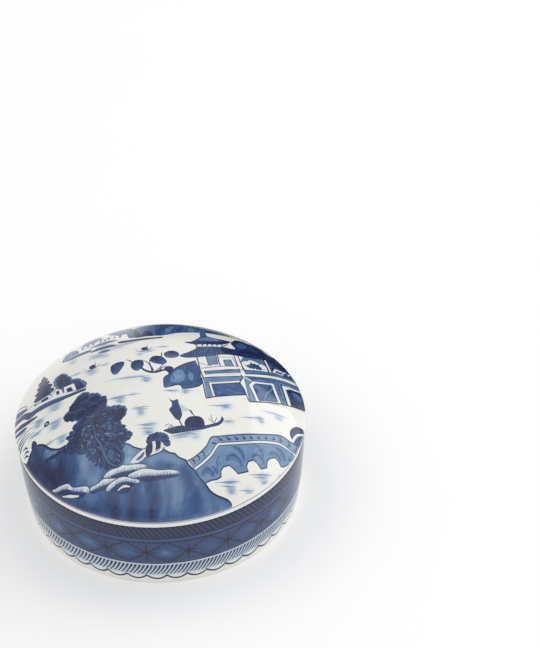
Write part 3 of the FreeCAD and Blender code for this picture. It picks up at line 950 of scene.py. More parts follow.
for x in range(5):
    bare([(15.2 + x * 1.75, 14.7 + x * 0.62), (16.3 + x * 1.75, 15.0 + x * 0.62),
        (16.2 + x * 1.75, 16.3 + x * 0.55), (15.0 + x * 1.75, 15.9 + x * 0.55)])
    rule([(16.45 + x * 1.75, 14.9 + x * 0.62), (16.35 + x * 1.75, 16.6 + x * 0.55)], 0.42, 0.86)
paint([(23.6, 17.3), (26.6, 17.2), (28, 17.8), (27.9, 19.2), (26.4, 19.7), (24.8, 19.0)], 0.05, 0, 0)
line([(23.4, 17.2), (24.8, 19.2), (25.6, 20.4)], 0.4, 0.85)
print(len(marks), "marks")

# %% [markdown]
# ## Near shore, tree and bridge
# The nearest things are laid last: a blue mountain in overlapping washes, rocks like clouds, a
# big tree of clumped leaves in front, and a bridge with scalloped arches.  A wash has soft
# folds that no outline could give, so a fold is a curved line along which the cobalt is made
# thicker or thinner with a soft edge.

# %% Mountain
mountain = curve([(-53, -15.6), (-50, -17), (-47, -19.6), (-45.6, -18), (-44.6, -16.3), (-43, -15.9),
    (-41.5, -16.6), (-40, -18), (-38.5, -20), (-36.8, -21.4), (-35, -22.3), (-32.5, -22.3),
    (-31.5, -23.2), (-28, -24.5), (-20, -27), (-13, -28.9), (-11.3, -29.3), (-10, -30.4), (-8, -31.4),
    (-6.3, -32), (-5.5, -33), (-3, -33.8), (-1.2, -33.4), (0.3, -32.6), (1.5, -33.3), (2.5, -33.8),
    (4, -34), (5, -35), (6.5, -35.7), (7.6, -36), (8.3, -37.2), (9.5, -38.3), (10.5, -38.9),
    (11.5, -40.5), (13.5, -42.3), (15, -44), (17, -44.9), (19.5, -45.3), (21, -45.6), (22.3, -47),
    (22.8, -49), (23.6, -52), (10, -56), (-10, -58), (-30, -50), (-45, -36), (-53, -22)], True, 1.0)
paint(mountain, 0.555, 0.4, 0.5, 70)
dab([(-39.6, -19.8), (-38, -21.4), (-35.4, -22.6), (-36.4, -23.4), (-39, -23.3), (-41, -22.6)],
    0.4, 0.6, 0.4, 20)
for path, width, change in [
        ([(-38, -41), (-30, -46), (-19, -49), (-7, -51)], 12, 0.10),
        ([(-48, -22), (-43, -29), (-37, -35)], 9, 0.06), ([(-34, -28), (-30, -32), (-26, -34)], 6, 0.04),
        ([(-47, -20), (-46, -24), (-43, -29), (-40, -35)], 7, 0.24),
        ([(-41, -24), (-39.5, -27), (-37.5, -32)], 5, 0.20),
        ([(-43, -18), (-42, -21), (-41.6, -24)], 3, 0.12),
        ([(-34, -25), (-34.5, -29), (-33, -33.6)], 4, 0.14),
        ([(-37.6, -25), (-36.4, -29), (-36, -33)], 1.8, -0.14),
        ([(-31, -27), (-30.5, -31), (-31.6, -34)], 2, 0.04),
        ([(-28.6, -28), (-28, -31), (-28.4, -35.6)], 2.4, -0.06),
        ([(-26.4, -29), (-26.2, -33), (-24.6, -36.6)], 3.4, -0.16),
        ([(-22.6, -32), (-21.8, -35), (-23, -37.6)], 2.4, -0.12),
        ([(-45, -30), (-42.4, -35), (-38, -40)], 3, -0.08),
        ([(-36, -39.5), (-30, -43), (-24, -45)], 3.6, 0.12),
        ([(-33, -41.5), (-27, -45.5), (-20, -49)], 2.2, -0.08),
        ([(-25.6, -41.5), (-24.4, -44), (-26, -47)], 5, -0.10),
        ([(-17.6, -43.5), (-17.4, -47), (-19, -51)], 4, 0.13),
        ([(-14.4, -44), (-14.6, -48), (-16, -52)], 1.6, -0.10),
        ([(-11, -43.5), (-10.6, -47), (-12.4, -51.5)], 4, 0.12),
        ([(-7.6, -43), (-7.8, -46.4), (-9.4, -50)], 1.6, -0.12),
        ([(-4.6, -42), (-4, -46), (-5.4, -51)], 3, 0.12),
        ([(-1, -42), (-0.6, -46), (-1.6, -50)], 1.8, -0.08),
        ([(3, -41.6), (4, -44.4), (3.2, -48)], 4.4, -0.13),
        ([(8, -40), (9.4, -44), (9.6, -49)], 3.0, 0.08),
        ([(12.6, -44), (14, -47), (14.4, -50)], 2.6, -0.10),
        ([(18, -46.5), (19, -48.4), (20, -50.6)], 3, -0.10),
        ([(-9.8, -31.6), (-8.6, -34), (-11, -35.2)], 4, -0.17),
        ([(-3.6, -35.2), (0.6, -34.8), (4.6, -36.4)], 4, -0.19),
        ([(-1.6, -36.6), (2, -37.4), (6.4, -38.2)], 1.8, 0.10),
        ([(-12.2, -29.8), (-11.4, -32.4), (-12.6, -34.8)], 3, -0.18),
        ([(6.6, -37), (9, -39.4), (10.6, -42)], 2, -0.08)]:
    fold(path, width, change)

# %% Outline of the mountain
line([(-53, -15.8), (-50, -17.1), (-47, -19.6), (-45.6, -18), (-44.6, -16.3), (-43, -15.9),
    (-41.5, -16.6), (-40, -18), (-38.5, -20), (-36.8, -21.4), (-35, -22.3), (-32.5, -22.3)],
    [0.5, 0.7, 0.6], 0.88)
line([(-13, -28.9), (-11.3, -29.3), (-10, -30.4), (-8, -31.4), (-6.3, -32), (-5.5, -33), (-3, -33.8),
    (-1.2, -33.4), (0.3, -32.6), (1.5, -33.3), (2.5, -33.8), (4, -34), (5, -35), (6.5, -35.7), (7.6, -36),
    (8.3, -37.2), (9.5, -38.3), (10.5, -38.9), (11.5, -40.5), (13.5, -42.3), (15, -44), (17, -44.9),
    (19.5, -45.3), (21, -45.6), (22.3, -47), (23, -50)], [0.45, 0.55], 0.85)
line([(-45.4, -23.2), (-42, -23.6), (-38, -23.6), (-34, -23.8), (-31, -23.6)], [0.4, 1.1, 1.3, 0.9], 0.78)
for x in range(7):
    line([(-44 + x * 2.1, -22.8), (-43.6 + x * 2.1, -24.6)], [0.9, 0.3], 0.80)
dab([(-44.9, -15.4), (-44.5, -13.2), (-44, -13), (-42.8, -15), (-43.2, -15.9), (-44.3, -16.1)],
    0.78, 0.6, 0.5, gap=0.6)
line([(-43.6, -16.2), (-43.4, -18.8), (-42.6, -20.8)], [0.6, 0.25], 0.80)
line([(-42.4, -17.2), (-43.8, -19.4), (-43.6, -21.6)], [0.4, 0.25], 0.76)
line([(-40, -18.4), (-41.2, -20), (-41, -22)], [0.4, 0.2], 0.74)

# %% Cloud rocks
def cloud_rock(lit, shaded, seed):
    """A rock like a cloud: pale above, shaded below, with short strokes from one to the other."""
    ring = curve(lit, True, 0.5)
    under = curve(shaded, True, 0.7)
    rule(np.vstack([ring, ring[:1]]), 0.55, 0.7)
    rule(np.vstack([under, under[:1]]), 0.5, 0.74)
    paint(under, 0.68, 0.6, 0.6, -10)
    paint(ring, 0.08, 0.3, 0.6)
    rng = random.Random(seed)
    low_edge = ring[np.argsort(-ring[:, 0])]
    low_edge = np.array([p for p in low_edge if not np.any((np.abs(ring[:, 0] - p[0]) < 0.5) & (ring[:,
        1] < p[1] - 0.3))])
    for x, y in low_edge:
        tall = rng.uniform(0.5, 1.15)
        line([(x + 0.2, y + tall), (x - 0.1, y - 0.2)], [0.08, 0.40], rng.uniform(0.40, 0.58))
    hatch(shaded, 82, 0.8, 0.3, 0.88, 0.2, seed)


cloud_rock([(-38.4, -33.6), (-37.6, -33.8), (-34.7, -34), (-32.4, -34.7), (-31.3, -36.1), (-29.5, -36.9),
    (-27.6, -37.4), (-26.1, -38), (-25.5, -38.9), (-25.3, -39.7), (-26.2, -39.6), (-27.2, -39),
    (-28.4, -38.4), (-30, -37.7), (-31.4, -36.9), (-32.7, -36), (-34.7, -35.2), (-37.6, -34.8)],
    [(-38, -35.2), (-36, -35.3), (-34, -35.8), (-32, -36.9), (-30, -37.9), (-27.6, -39), (-27, -39.8),
    (-29, -40), (-31, -38.6), (-33, -37.8), (-36, -37.2)], 3)
dab([(-34.6, -36.6), (-32.6, -37), (-30.8, -37.9), (-31.6, -38), (-33.4, -37.4)], 0.84, 0.5, 0.5, gap=0.7)
line([(-35, -37.2), (-33, -37.8), (-31, -38.7), (-29.1, -39.4)], [0.4, 0.8, 0.4], 0.08)
cloud_rock([(-20.5, -37.4), (-19.2, -36.4), (-17.6, -35.9), (-15.3, -35.8), (-13.9, -35.4),
    (-12.4, -35.8), (-9.7, -36), (-7.1, -36.4), (-5.5, -37), (-5.7, -37.6), (-7.6, -37.7), (-11.1, -37.4),
    (-16.3, -37.4), (-18.7, -37.8)],
    [(-18.7, -37.7), (-16.3, -37.3), (-11.1, -37.3), (-7.6, -37.6), (-9.7, -38.1), (-12.4, -38.8),
    (-16.3, -38.6)], 5)
cloud_rock([(-25.3, -38.9), (-22.1, -38.4), (-20.5, -37.8), (-18.2, -38.3), (-16.3, -38.7), (-15.3, -39),
    (-17, -39.4), (-20, -39.5), (-23, -39.5), (-25, -39.6)],
    [(-25.2, -39.5), (-22, -39.2), (-18, -39.4), (-16.6, -39.4), (-17.6, -39.8), (-19.5, -40.3),
    (-21.8, -40.5), (-24.4, -40.3)], 6)
cloud_rock([(-12.1, -38.8), (-9.7, -38.1), (-7.1, -37.7), (-4.5, -38.1), (-1.8, -38.7), (2.1, -38.8),
    (4.5, -39.2), (5.1, -39.8), (2.1, -40), (-3.2, -40), (-7.1, -39.7), (-11, -39.7)],
    [(-9.4, -39.7), (-6, -39.7), (-2, -40), (2.1, -39.9), (5.1, -39.8), (4.5, -40.4), (-0.5, -41.1),
    (-5.8, -41.3), (-8.2, -40.8)], 7)
cloud_rock([(-19.9, -41.1), (-19.2, -40.2), (-17.1, -39.3), (-14.5, -38.8), (-12.4, -39.2), (-10.5, -40),
    (-8.7, -40.6), (-8.2, -41.3), (-9.7, -41.2), (-11.6, -40.5), (-14.2, -40.1), (-16.8, -40.5),
    (-18.7, -41.5)],
    [(-18.2, -41.5), (-16.3, -40.5), (-14.2, -40.1), (-12.1, -40.5), (-10, -41.4), (-11.4, -42.1),
    (-11.8, -42.8), (-13.7, -43.1), (-15.5, -42.7), (-16.3, -41.9)], 8)
line([(-15.9, -42.1), (-13.9, -41.4), (-11.7, -41.9)], [0.3, 0.7, 0.3], 0.08)

# %% Twisted tree
line([(-10.6, -35.3), (-8.4, -33.2), (-6.1, -31.9), (-5.5, -32.6), (-6.1, -34.2), (-8.2, -35.4)],
    0.9, 0.72)
dab([(-11, -35.3), (-8.5, -33), (-6.1, -31.8), (-5.3, -32.6), (-6, -34.4), (-8.4, -35.6)],
    0.08, 0.1, 0.1, gap=0.7)
dab([(-9.2, -34.8), (-7.4, -33.5), (-6.1, -32.6), (-6.5, -33.9), (-8.2, -35)],
    0.68, 0.6, 0.5, 40, gap=0.6)
dab([(-5.8, -34.4), (-5.6, -31.4), (-4.6, -30), (-2, -28.8), (0, -29.6), (0.7, -31.8), (-0.3, -33),
    (-3, -34)], 0.06, 0.1, 0.1, gap=0.7)
line([(0.7, -31.9), (-0.2, -33.1), (-3, -34), (-5.8, -34.5)], 0.4, 0.76)
for strand in [
        [(-5.6, -31.4), (-4.7, -30.3), (-3.4, -29.6), (-3.2, -31.3), (-3.5, -33), (-4.5, -34.1),
            (-5.6, -34.1)],
        [(-2.2, -29.2), (-0.6, -29.6), (-0.4, -31), (-1.1, -32.2), (-2.4, -32.7), (-2.1, -31.3)]]:
    dab(strand, 0.74, 0.9, 0.6, 75, gap=0.6)
line([(-0.5, -31.6), (-1.2, -32.6), (-2.4, -33.2)], 0.25, 0.6)
twisted = [(-5.1, -28.9), (-4.6, -28), (-3.6, -27.4), (-2.6, -27.2), (-0.8, -27), (0.2, -27.2),
    (1.2, -27.6), (2.1, -28.5), (2.2, -29.7), (2.7, -30.7), (2.1, -31.8), (0.9, -31.5), (0.3, -30.5),
    (-0.5, -29.8), (-1.8, -29.2), (-3.2, -29.7), (-4.5, -30.4), (-5.3, -30)]
paint(lobes(np.array(twisted) + (0.15, 0.1), 0.22, 4), 0.50, 0.4, 0.4)
paint(lobes(twisted, 0.12, 4), 0.74, 0.9, 0.9, 40)
for lump in [
        [(-4.6, -29.2), (-3.8, -28.2), (-2.8, -28.4)], [(-2.6, -28.6), (-1.6, -27.8), (-0.6, -28.4)],
        [(-0.6, -28.8), (0.6, -28.2), (1.4, -29)], [(0.6, -30.2), (1.4, -29.6), (2.1, -30.4)]]:
    line(lump, [0.15, 0.4, 0.15], 0.92)

# %% Big tree
tree = [(-28.3, -6), (-27.3, -4.6), (-25.3, -4.5), (-24, -6), (-22.3, -6.6), (-20.6, -7.6), (-20.2, -9.3),
    (-18.8, -9), (-18.3, -10.5), (-18.7, -12.5), (-18.3, -14), (-16.9, -14.6), (-15, -14.6),
    (-13.2, -15.2), (-11.7, -16.4), (-11.8, -18), (-12.7, -19.6), (-14.5, -20.5), (-15.2, -22),
    (-13, -22.8), (-13.2, -24), (-11.7, -24.7), (-12, -26), (-10, -26.2), (-11.5, -27.7), (-12.7, -28.2),
    (-12.6, -29), (-14.2, -30.5), (-13.8, -33), (-14.8, -35), (-17, -35.4), (-18.8, -34.2), (-20.5, -34),
    (-21.8, -33), (-22.5, -31.5), (-24, -30.2), (-22.8, -29.8), (-24.8, -28.5), (-25.5, -27),
    (-27, -26.2), (-28.8, -26), (-30.5, -26), (-32, -25), (-31, -23), (-30.8, -22), (-31.5, -19.5),
    (-30.2, -19), (-28.8, -18.5), (-27.8, -19.2), (-28.3, -17), (-27.6, -15), (-29.2, -14.7),
    (-30.6, -14.2), (-31.2, -13), (-32.8, -12.3), (-32.7, -10.6), (-31, -10.2), (-30.5, -8.6),
    (-29.6, -7.6), (-29.3, -6.6)]
paint(lobes(np.array(tree) + (0.45, 0.35), 0.24, 5), 0.46, 0.4, 0.4)
paint(lobes(tree, 0.3, 4), 0.74, 0.5, 0.9, 50)
lower_crown = [(-28, -15.6), (-24, -14), (-19.6, -15.4), (-16, -18.2), (-14, -21), (-15.4, -22.4),
    (-13.6, -24.4), (-12.4, -26.6), (-13.6, -28.4), (-14.8, -31), (-15.2, -34), (-17.2, -34.8),
    (-20.4, -33.6), (-22, -31.8), (-23.8, -29.6), (-25.4, -27), (-29, -25.6), (-31.6, -24.6),
    (-30, -21.6), (-29, -19.4)]
paint(lobes(lower_crown, 0.45, 4), 0.74, 0.6, 0.9, 50)

# %% Leaves at the edge of the tree
for x, y, lie in [(-32.6, -24.4, 200), (-31, -25.8, 215), (-29.2, -26, 235), (-27.4, -26.6, 225),
        (-26, -27.6, 215), (-25.2, -29, 205), (-24.4, -30.2, 200), (-23.2, -31.4, 215),
        (-22.4, -32.8, 210), (-21, -33.8, 230), (-19.2, -34.2, 245), (-31.8, -20, 170),
        (-31.6, -22.2, 190), (-30.6, -18.8, 150), (-12.6, -23, 20), (-10.8, -25.6, -10),
        (-11.4, -27.4, -30), (-13, -29, -40), (-14, -21.4, 30), (-28.4, -18.6, 130)]:
    dx, dy = math.cos(math.radians(lie)), math.sin(math.radians(lie))
    leaf = [(x - 1.2 * dx, y - 1.2 * dy), (x - dy * 0.8, y + dx * 0.8), (x + 0.9 * dx, y + 0.9 * dy),
        (x + dy * 0.75, y - dx * 0.75)]
    dab(leaf, 0.7, 0.6, 0.7, lie, gap=0.5)
    line([(x - 1.2 * dx, y - 1.2 * dy), (x + 0.9 * dx, y + 0.9 * dy)], [0.15, 0.3, 0.15], 0.90)

# %% Leaves inside the tree
LEAF_TRIES, CLUMPS_ABOVE = 900, -15
HEART_X, HEART_Y = -22.4, -22
rng = random.Random(7)
leaf_rows = np.array(tree)
for _ in range(LEAF_TRIES):
    x, y = rng.uniform(-32.5, -10.5), rng.uniform(-35, -5)
    crossed = (leaf_rows[:, 1] > y) != (np.roll(leaf_rows[:, 1], -1) > y)
    share = (y - leaf_rows[:, 1]) / (np.roll(leaf_rows[:, 1], -1) - leaf_rows[:, 1] + 1e-12)
    sides = (leaf_rows[:, 0] + (np.roll(leaf_rows[:, 0], -1) - leaf_rows[:, 0]) * share)[crossed]
    if np.sum(sides > x) % 2 == 0 or np.min(np.hypot(leaf_rows[:, 0] - x, leaf_rows[:, 1] - y)) < 0.8:
        continue
    away = math.degrees(math.atan2(y - HEART_Y, x - HEART_X)) if abs(x - HEART_X) > 0.8 else -90
    if y > CLUMPS_ABOVE:
        size = rng.uniform(0.4, 0.8)
        lie = rng.uniform(20, 70)
        tone = rng.choice((0.62, 0.88, 0.90))
    else:
        size = rng.uniform(0.55, 0.95)
        lie = away * 0.4 - 30 + rng.uniform(-22, 22)
        tone = rng.choice((0.46, 0.86, 0.90, 0.92))
    dx, dy = size * math.cos(math.radians(lie)), size * math.sin(math.radians(lie))
    line([(x - dx, y - dy), (x - dy * 0.3, y + dx * 0.3), (x + dx, y + dy)], [0.12, 0.36, 0.12], tone)

# %% Clumps of leaves
def round_about(x, y, size, angles):
    """Points of a slightly flattened circle, at the angles given."""
    return [(x + size * math.cos(a), y + size * 0.92 * math.sin(a)) for a in angles]


for x, y, reach_out in [(-19.6, -11.4, 1.8), (-30.9, -12.2, 1.9), (-22.2, -8.8, 2.0), (-29, -8.8, 1.9),
        (-26.4, -6.4, 2.1), (-25.6, -10.2, 2.2), (-22.6, -12.4, 2.0), (-27.2, -12.8, 1.9),
        (-14.4, -19.2, 1.6), (-16.6, -16.6, 1.9), (-13.6, -17, 1.8)]:
    clump = round_about(x, y, reach_out, np.linspace(0, math.tau, 9)[:-1])
    paint(lobes(clump, 0.32, 2), 0.82, 0.6, 0.9, 40)
    line(round_about(x, y, reach_out, np.linspace(0.3, 2.8, 5)), [0.1, 0.34, 0.1], 0.56)
    for turn in (0.2, 1.4, 2.7, 4.0, 5.2):
        cx, cy = x + reach_out * 0.5 * math.cos(turn), y + reach_out * 0.5 * math.sin(turn)
        line([(cx - 0.5, cy), (cx, cy + 0.35), (cx + 0.5, cy)], [0.1, 0.3, 0.1], 0.93)

# %% Stem of the tree
stem = [(-24.6, -15.5), (-23.4, -18.4), (-22.6, -21), (-22.3, -24), (-20.8, -26.8), (-20.1, -29),
    (-19.2, -31.6), (-18.2, -33.6), (-16, -35.2)]
line(stem, [0.7, 0.9, 1.2, 1.5], 0.92)
line(stem, [0.15, 0.3, 0.6, 0.8, 0.5], 0.54)
loop = [(-20, -28.6), (-18.8, -27.8), (-17, -28), (-15.2, -29.6), (-13.8, -31.6), (-13.5, -33.6),
    (-14.4, -35), (-16, -35.4)]
line(loop, [0.7, 1.3, 1.1], 0.86)
line(loop, [0.3, 0.6, 0.5], 0.62)
dab([(-18.4, -30.2), (-17.4, -29.6), (-16.4, -31), (-15.8, -33.2), (-16.6, -34), (-17.6, -32.6)],
    0.62, 0.8, 0.6, 60)
for x, y in [(-17.4, -30.8), (-16.8, -32), (-17, -33.2), (-16, -32.8)]:
    line([(x - 0.5, y - 0.3), (x, y + 0.2), (x + 0.6, y - 0.1)], [0.1, 0.3, 0.1], 0.84)

# %% Rock beyond the bridge
dab([(45.4, -20.2), (44.7, -17.5), (45.6, -14.6), (47.6, -12.4), (49.4, -12), (53, -13.6), (53, -20),
    (49, -21)], 0.6, 0.6, 0.5, 60, gap=0.9)
dab([(44.4, -18.6), (44.2, -16.5), (45.4, -14.2), (47.2, -12.4), (48.8, -12), (49.5, -13), (49.2, -14.5),
    (47.5, -15.5), (46, -17.5), (45, -19.2)], 0.74, 0.8, 0.6, 60)
line([(44.9, -19.6), (46.4, -16.6), (48, -15), (50.2, -14.0)], 0.7, 0.04)
line([(45.8, -19.8), (47.4, -16.8), (49.4, -15.4), (51.6, -15)], 0.35, 0.85)

# %% Arches of the bridge
top = [(8.2, -36.2), (10, -35.3), (12.5, -33.5), (15, -31), (16.3, -28.6), (17, -27.9), (20, -27.2),
    (25, -25.7), (30, -24), (35, -22.3), (40, -20.2), (41.5, -19.9), (44, -20.3), (46, -20.2),
    (53, -20.6)]
arches = [(53, -24), (48, -26.5), (44, -28), (42.5, -29.3), (41.2, -30.2), (39.9, -30.6), (39.2, -29.3),
    (38, -28.7), (36.3, -29.6), (35.2, -31), (34.9, -33), (32.7, -34.2), (31.8, -32.9), (30.5, -32.3),
    (28.7, -33.2), (27.9, -34.8), (28.4, -36.2), (24.8, -37.8), (23.6, -36.8), (22, -36), (20.1, -36.8),
    (19.1, -38), (19, -39.8), (17.5, -40.7), (15.5, -41.2), (13.5, -42.2), (11.5, -40.5), (10.5, -38.9)]
paint(np.array(top + arches), 0.39, 0.8, 0.5, 25)
for scallop, inner in [
        ([(12.6, -40.4), (13, -38.9), (14.4, -38.1), (16, -38.6), (16.7, -40.2)], 0.58),
        ([(15.8, -37.3), (17.2, -37.7), (17.9, -39.4)], 0.56),
        ([(20.8, -35), (22, -33.2), (24, -32.6), (26, -33.6), (26.8, -35.8)], 0.56),
        ([(23.4, -29.8), (25.6, -30), (27, -31.4), (27.3, -34)], 0.55),
        ([(29.8, -32), (31, -30.5), (32.8, -30.2), (34, -31.4), (34.2, -33)], 0.56),
        ([(30.6, -27), (32.6, -27.4), (33.9, -29), (34, -30.8)], 0.55),
        ([(36, -28.6), (37.4, -27.2), (39.2, -27.4), (40.4, -29)], 0.56),
        ([(38.4, -24.9), (40.2, -25.4), (41.3, -27), (41.2, -28.8)], 0.55),
        ([(19, -33.6), (18, -35.4), (18, -37.4)], 0.52),
        ([(42.4, -27.4), (43.8, -26.2), (45.6, -26.6)], 0.55)]:
    inside_arc = np.array(scallop) * 0.8 + np.mean(scallop, axis=0) * 0.2
    paint(stroke(inside_arc, [0.9, 2.5, 0.9]), inner - 0.09, 0.9, 0.6, 25)
    line(scallop, [0.15, 0.4, 0.15], 0.62)
    line(inside_arc, [0.12, 0.3, 0.12], 0.54)
rule(arches[2:], 0.38, 0.74)

# %% Parapet of the bridge
parapet = [(10.3, -38.5), (13, -36.7), (16, -34), (18, -31.3), (19, -30.1), (20.5, -29.7), (25, -28.5),
    (30, -26.8), (35, -24.9), (40, -23.3), (42, -23.4), (46, -24), (53, -24.4)]
paint(np.array(top + parapet[::-1]), 0.34, 0.7, 0.5, 25)
line(parapet, 1.1, 0.72)
line(parapet, 0.62, 0.04)
line(top, [0.35, 0.45], 0.74)
upper_edge, lower_edge = curve(top[3:], False, 0.5), curve(parapet[4:], False, 0.5)
for share in np.linspace(0.03, 0.9, 13):
    a = upper_edge[int(share * (len(upper_edge) - 1))]
    b = lower_edge[int(share * (len(lower_edge) - 1))]
    line([a * 0.85 + b * 0.15 + (0.5, 0), a * 0.5 + b * 0.5 + (0.4, 0), a * 0.35 + b * 0.65 + (-0.2, 0),
        a * 0.4 + b * 0.6 + (-1.1, 0)], [0.5, 0.55, 0.2], 0.72)
for share in (0.2, 0.45, 0.7):
    a = np.array(top[0]) * (1 - share) + np.array(top[3]) * share
    line([a + (0.2, -0.6), a + (1.0, -1.1), a + (0.9, -2.0)], [0.6, 0.3], 0.74)

# %% Water below the bridge
water([(21, -41, 9, 0.8, 14, 0.46), (21.4, -42.8, 6, 2.2, 10, 0.44), (32.6, -36, 9, 0.8, 20, 0.46),
    (32.8, -37.4, 6, 2.2, 18, 0.42), (27.5, -42, 6, 1.2, 16, 0.36), (41, -33.6, 5, 0.9, 22, 0.34)])
print(len(marks), "marks and", len(washes), "washes")

# %% [markdown]
# ## From marks to a surface
# The dome carries the picture in its own mesh.  A picture file would blur close up, and a fine
# even grid of points would need millions.  So every outline becomes edges of the skin, which
# keeps each brush mark crisp at any distance, and every corner of every triangle stores how
# thick the cobalt is there.  The picture is laid out flat, as a disc whose radius follows the
# dome and then rolls on round the shoulder, down to the crease.

# %% Shape of the lid
shoulder = shoulder_max - shoulder_turn
shoulder_z = seam + band + math.sqrt(shoulder_turn ** 2 - (rim - shoulder) ** 2)
rise = crown - shoulder_z
dome = (shoulder ** 2 + rise ** 2 - shoulder_turn ** 2) / (2 * (rise - shoulder_turn))
dome_z = crown - dome
lean = math.atan2(shoulder_z - dome_z, shoulder)
dome_edge = dome * math.cos(lean)
crease_r = rim + crease
crease_z = shoulder_z - math.sqrt((shoulder_turn + crease) ** 2 - (crease_r - shoulder) ** 2)
crease_angle = math.atan2(crease_z - shoulder_z, crease_r - shoulder)
disc = dome_edge + (lean - crease_angle) * shoulder_turn
print("dome radius %.2f mm, picture disc %.2f mm" % (dome, disc))


def on_lid(flat):
    """Places on the lid, in millimetres, of points of the flat picture."""
    s = np.hypot(flat[:, 0], flat[:, 1])
    way = flat / np.maximum(s, 1e-9)[:, None]
    angle = lean - (s - dome_edge) / shoulder_turn
    on_dome = s <= dome_edge
    radius = np.where(on_dome, s, shoulder + shoulder_turn * np.cos(angle))
    dome_height = dome_z + dome * np.sqrt(np.maximum(0, 1 - (s / dome) ** 2))
    height = np.where(on_dome, dome_height, shoulder_z + shoulder_turn * np.sin(angle))
    return np.column_stack([way * radius[:, None], height])


# %% Skin of the lid
RINGS, RING_GAP, POINT_GAP, SHOULDER_RINGS = 40, 1.25, 1.3, 9


def skin_of_marks():
    """Triangles of the flat disc that follow every outline: points, triangles, their middles."""
    points, edges = [np.zeros((1, 2))], []
    for ring in range(1, RINGS + 1):
        count = max(6, round(math.tau * ring * RING_GAP / POINT_GAP))
        a = (np.arange(count) + 0.5 * (ring % 2)) / count * math.tau
        points.append(np.column_stack([np.cos(a), np.sin(a)]) * ring * RING_GAP)
    a = np.arange(STEPS) / STEPS * math.tau
    for s in np.linspace(dome_edge + 0.25, disc, SHOULDER_RINGS):
        points.append(np.column_stack([np.cos(a), np.sin(a)]) * s)
    total = sum(len(part) for part in points)
    for outline, *_ in marks:
        edges += [(total + i, total + (i + 1) % len(outline)) for i in range(len(outline))]
        points.append(outline)
        total += len(outline)
    everything = [Vector(p) for p in np.vstack(points)]
    flat, _, faces, *_ = geometry.delaunay_2d_cdt(everything, edges, [], 0, 1e-4)
    flat, faces = np.array([tuple(p) for p in flat]), np.array(faces)
    return flat, faces, flat[faces].mean(axis=1)


# %% Washes, marks and folds on the skin
def inside(places, outline):
    """Which places lie inside an outline, by how many times it winds round them."""
    winds = np.zeros(len(places), int)
    x, y = places[:, 0], places[:, 1]
    for (ax, ay), (bx, by) in zip(outline, np.roll(outline, -1, axis=0)):
        left = (bx - ax) * (y - ay) - (x - ax) * (by - ay)
        rising = (ay <= y) & (by > y) & (left > 0)
        sinking = (ay > y) & (by <= y) & (left < 0)
        winds += rising.astype(int) - sinking.astype(int)
    return winds != 0


def lay_washes(corners, glaze, brush):
    """Soft ovals of water, each with its own direction of streaks."""
    for x, y, half_length, half_width, angle, tone in washes:
        dx, dy = corners[..., 0] - x, corners[..., 1] - y
        u = dx * math.cos(angle) + dy * math.sin(angle)
        v = dy * math.cos(angle) - dx * math.sin(angle)
        soft = np.exp(-(u / half_length) ** 4 - (v / half_width) ** 4) * tone
        thicker = soft > glaze[..., 0]
        glaze[..., 0] = np.maximum(glaze[..., 0], soft)
        brush[thicker] = np.stack([u + x * 3, v + y * 3], -1)[thicker]
    glaze[..., 1] = np.where(glaze[..., 0] > 0.01, 1.0, 0.0)
    glaze[..., 2] = 0.3


def lay_marks(corners, middles, glaze, brush):
    """Every mark in turn, over what is already there."""
    for outline, tone, streak, mottle, angle, fade in marks:
        low, high = outline.min(axis=0), outline.max(axis=0)
        near = np.flatnonzero(np.all((middles >= low) & (middles <= high), axis=1))
        hit = near[inside(middles[near], outline)]
        tones = np.full((len(hit), 3), tone)
        if fade:
            way = np.array([math.cos(math.radians(fade[1])), math.sin(math.radians(fade[1]))])
            extent = outline @ way
            share = (corners[hit] @ way - extent.min()) / (extent.max() - extent.min())
            tones = tone + (fade[0] - tone) * np.clip(share, 0, 1) ** 1.3
        glaze[hit, :, 0], glaze[hit, :, 1], glaze[hit, :, 2] = tones, streak, mottle
        turned = np.array([[math.cos(angle), -math.sin(angle)], [math.sin(angle), math.cos(angle)]])
        brush[hit] = corners[hit] @ turned + outline[0]


def lay_folds(corners, middles, glaze):
    """Folds change only washes: neither bare porcelain nor the darkest marks."""
    palest, darkest = 0.35, 0.72
    for path, half_width, change in folds:
        low, high = path.min(axis=0) - 2 * half_width, path.max(axis=0) + 2 * half_width
        near = np.flatnonzero(np.all((middles >= low) & (middles <= high), axis=1))
        away = np.hypot(*(corners[near][:, :, None, :] - path).transpose(3, 0, 1, 2)).min(axis=2)
        soft = np.exp(-(away / half_width) ** 2)
        washed = (glaze[near, :, 0] > palest) & (glaze[near, :, 0] < darkest)
        glaze[near, :, 0] += soft * change * washed


def lay_cobalt(flat, faces, middles):
    """For each corner of each triangle: (tone, streak, mottle) and the place along the brush."""
    corners = flat[faces]
    glaze = np.zeros(corners.shape[:2] + (3,))
    brush = corners.copy()
    lay_washes(corners, glaze, brush)
    lay_marks(corners, middles, glaze, brush)
    lay_folds(corners, middles, glaze)
    print("cobalt covers %.0f%% of the triangles" % (100 * np.mean(glaze[:, 0, 0] > 0.2)))
    return glaze, brush


# %% [markdown]
# ## Glaze of the lid
# The real strokes are never one flat blue: the bristles leave streaks, and the cobalt speckles.
# The material reads the stored thickness and roughens it with two noises, one stretched along
# each stroke and one not.  Both scale with the thickness, so bare porcelain stays clean.

# %% Lid glaze
# height of the line of painted shade round the crease, in millimetres
CREASE_SHADE_HEIGHT = 30.55


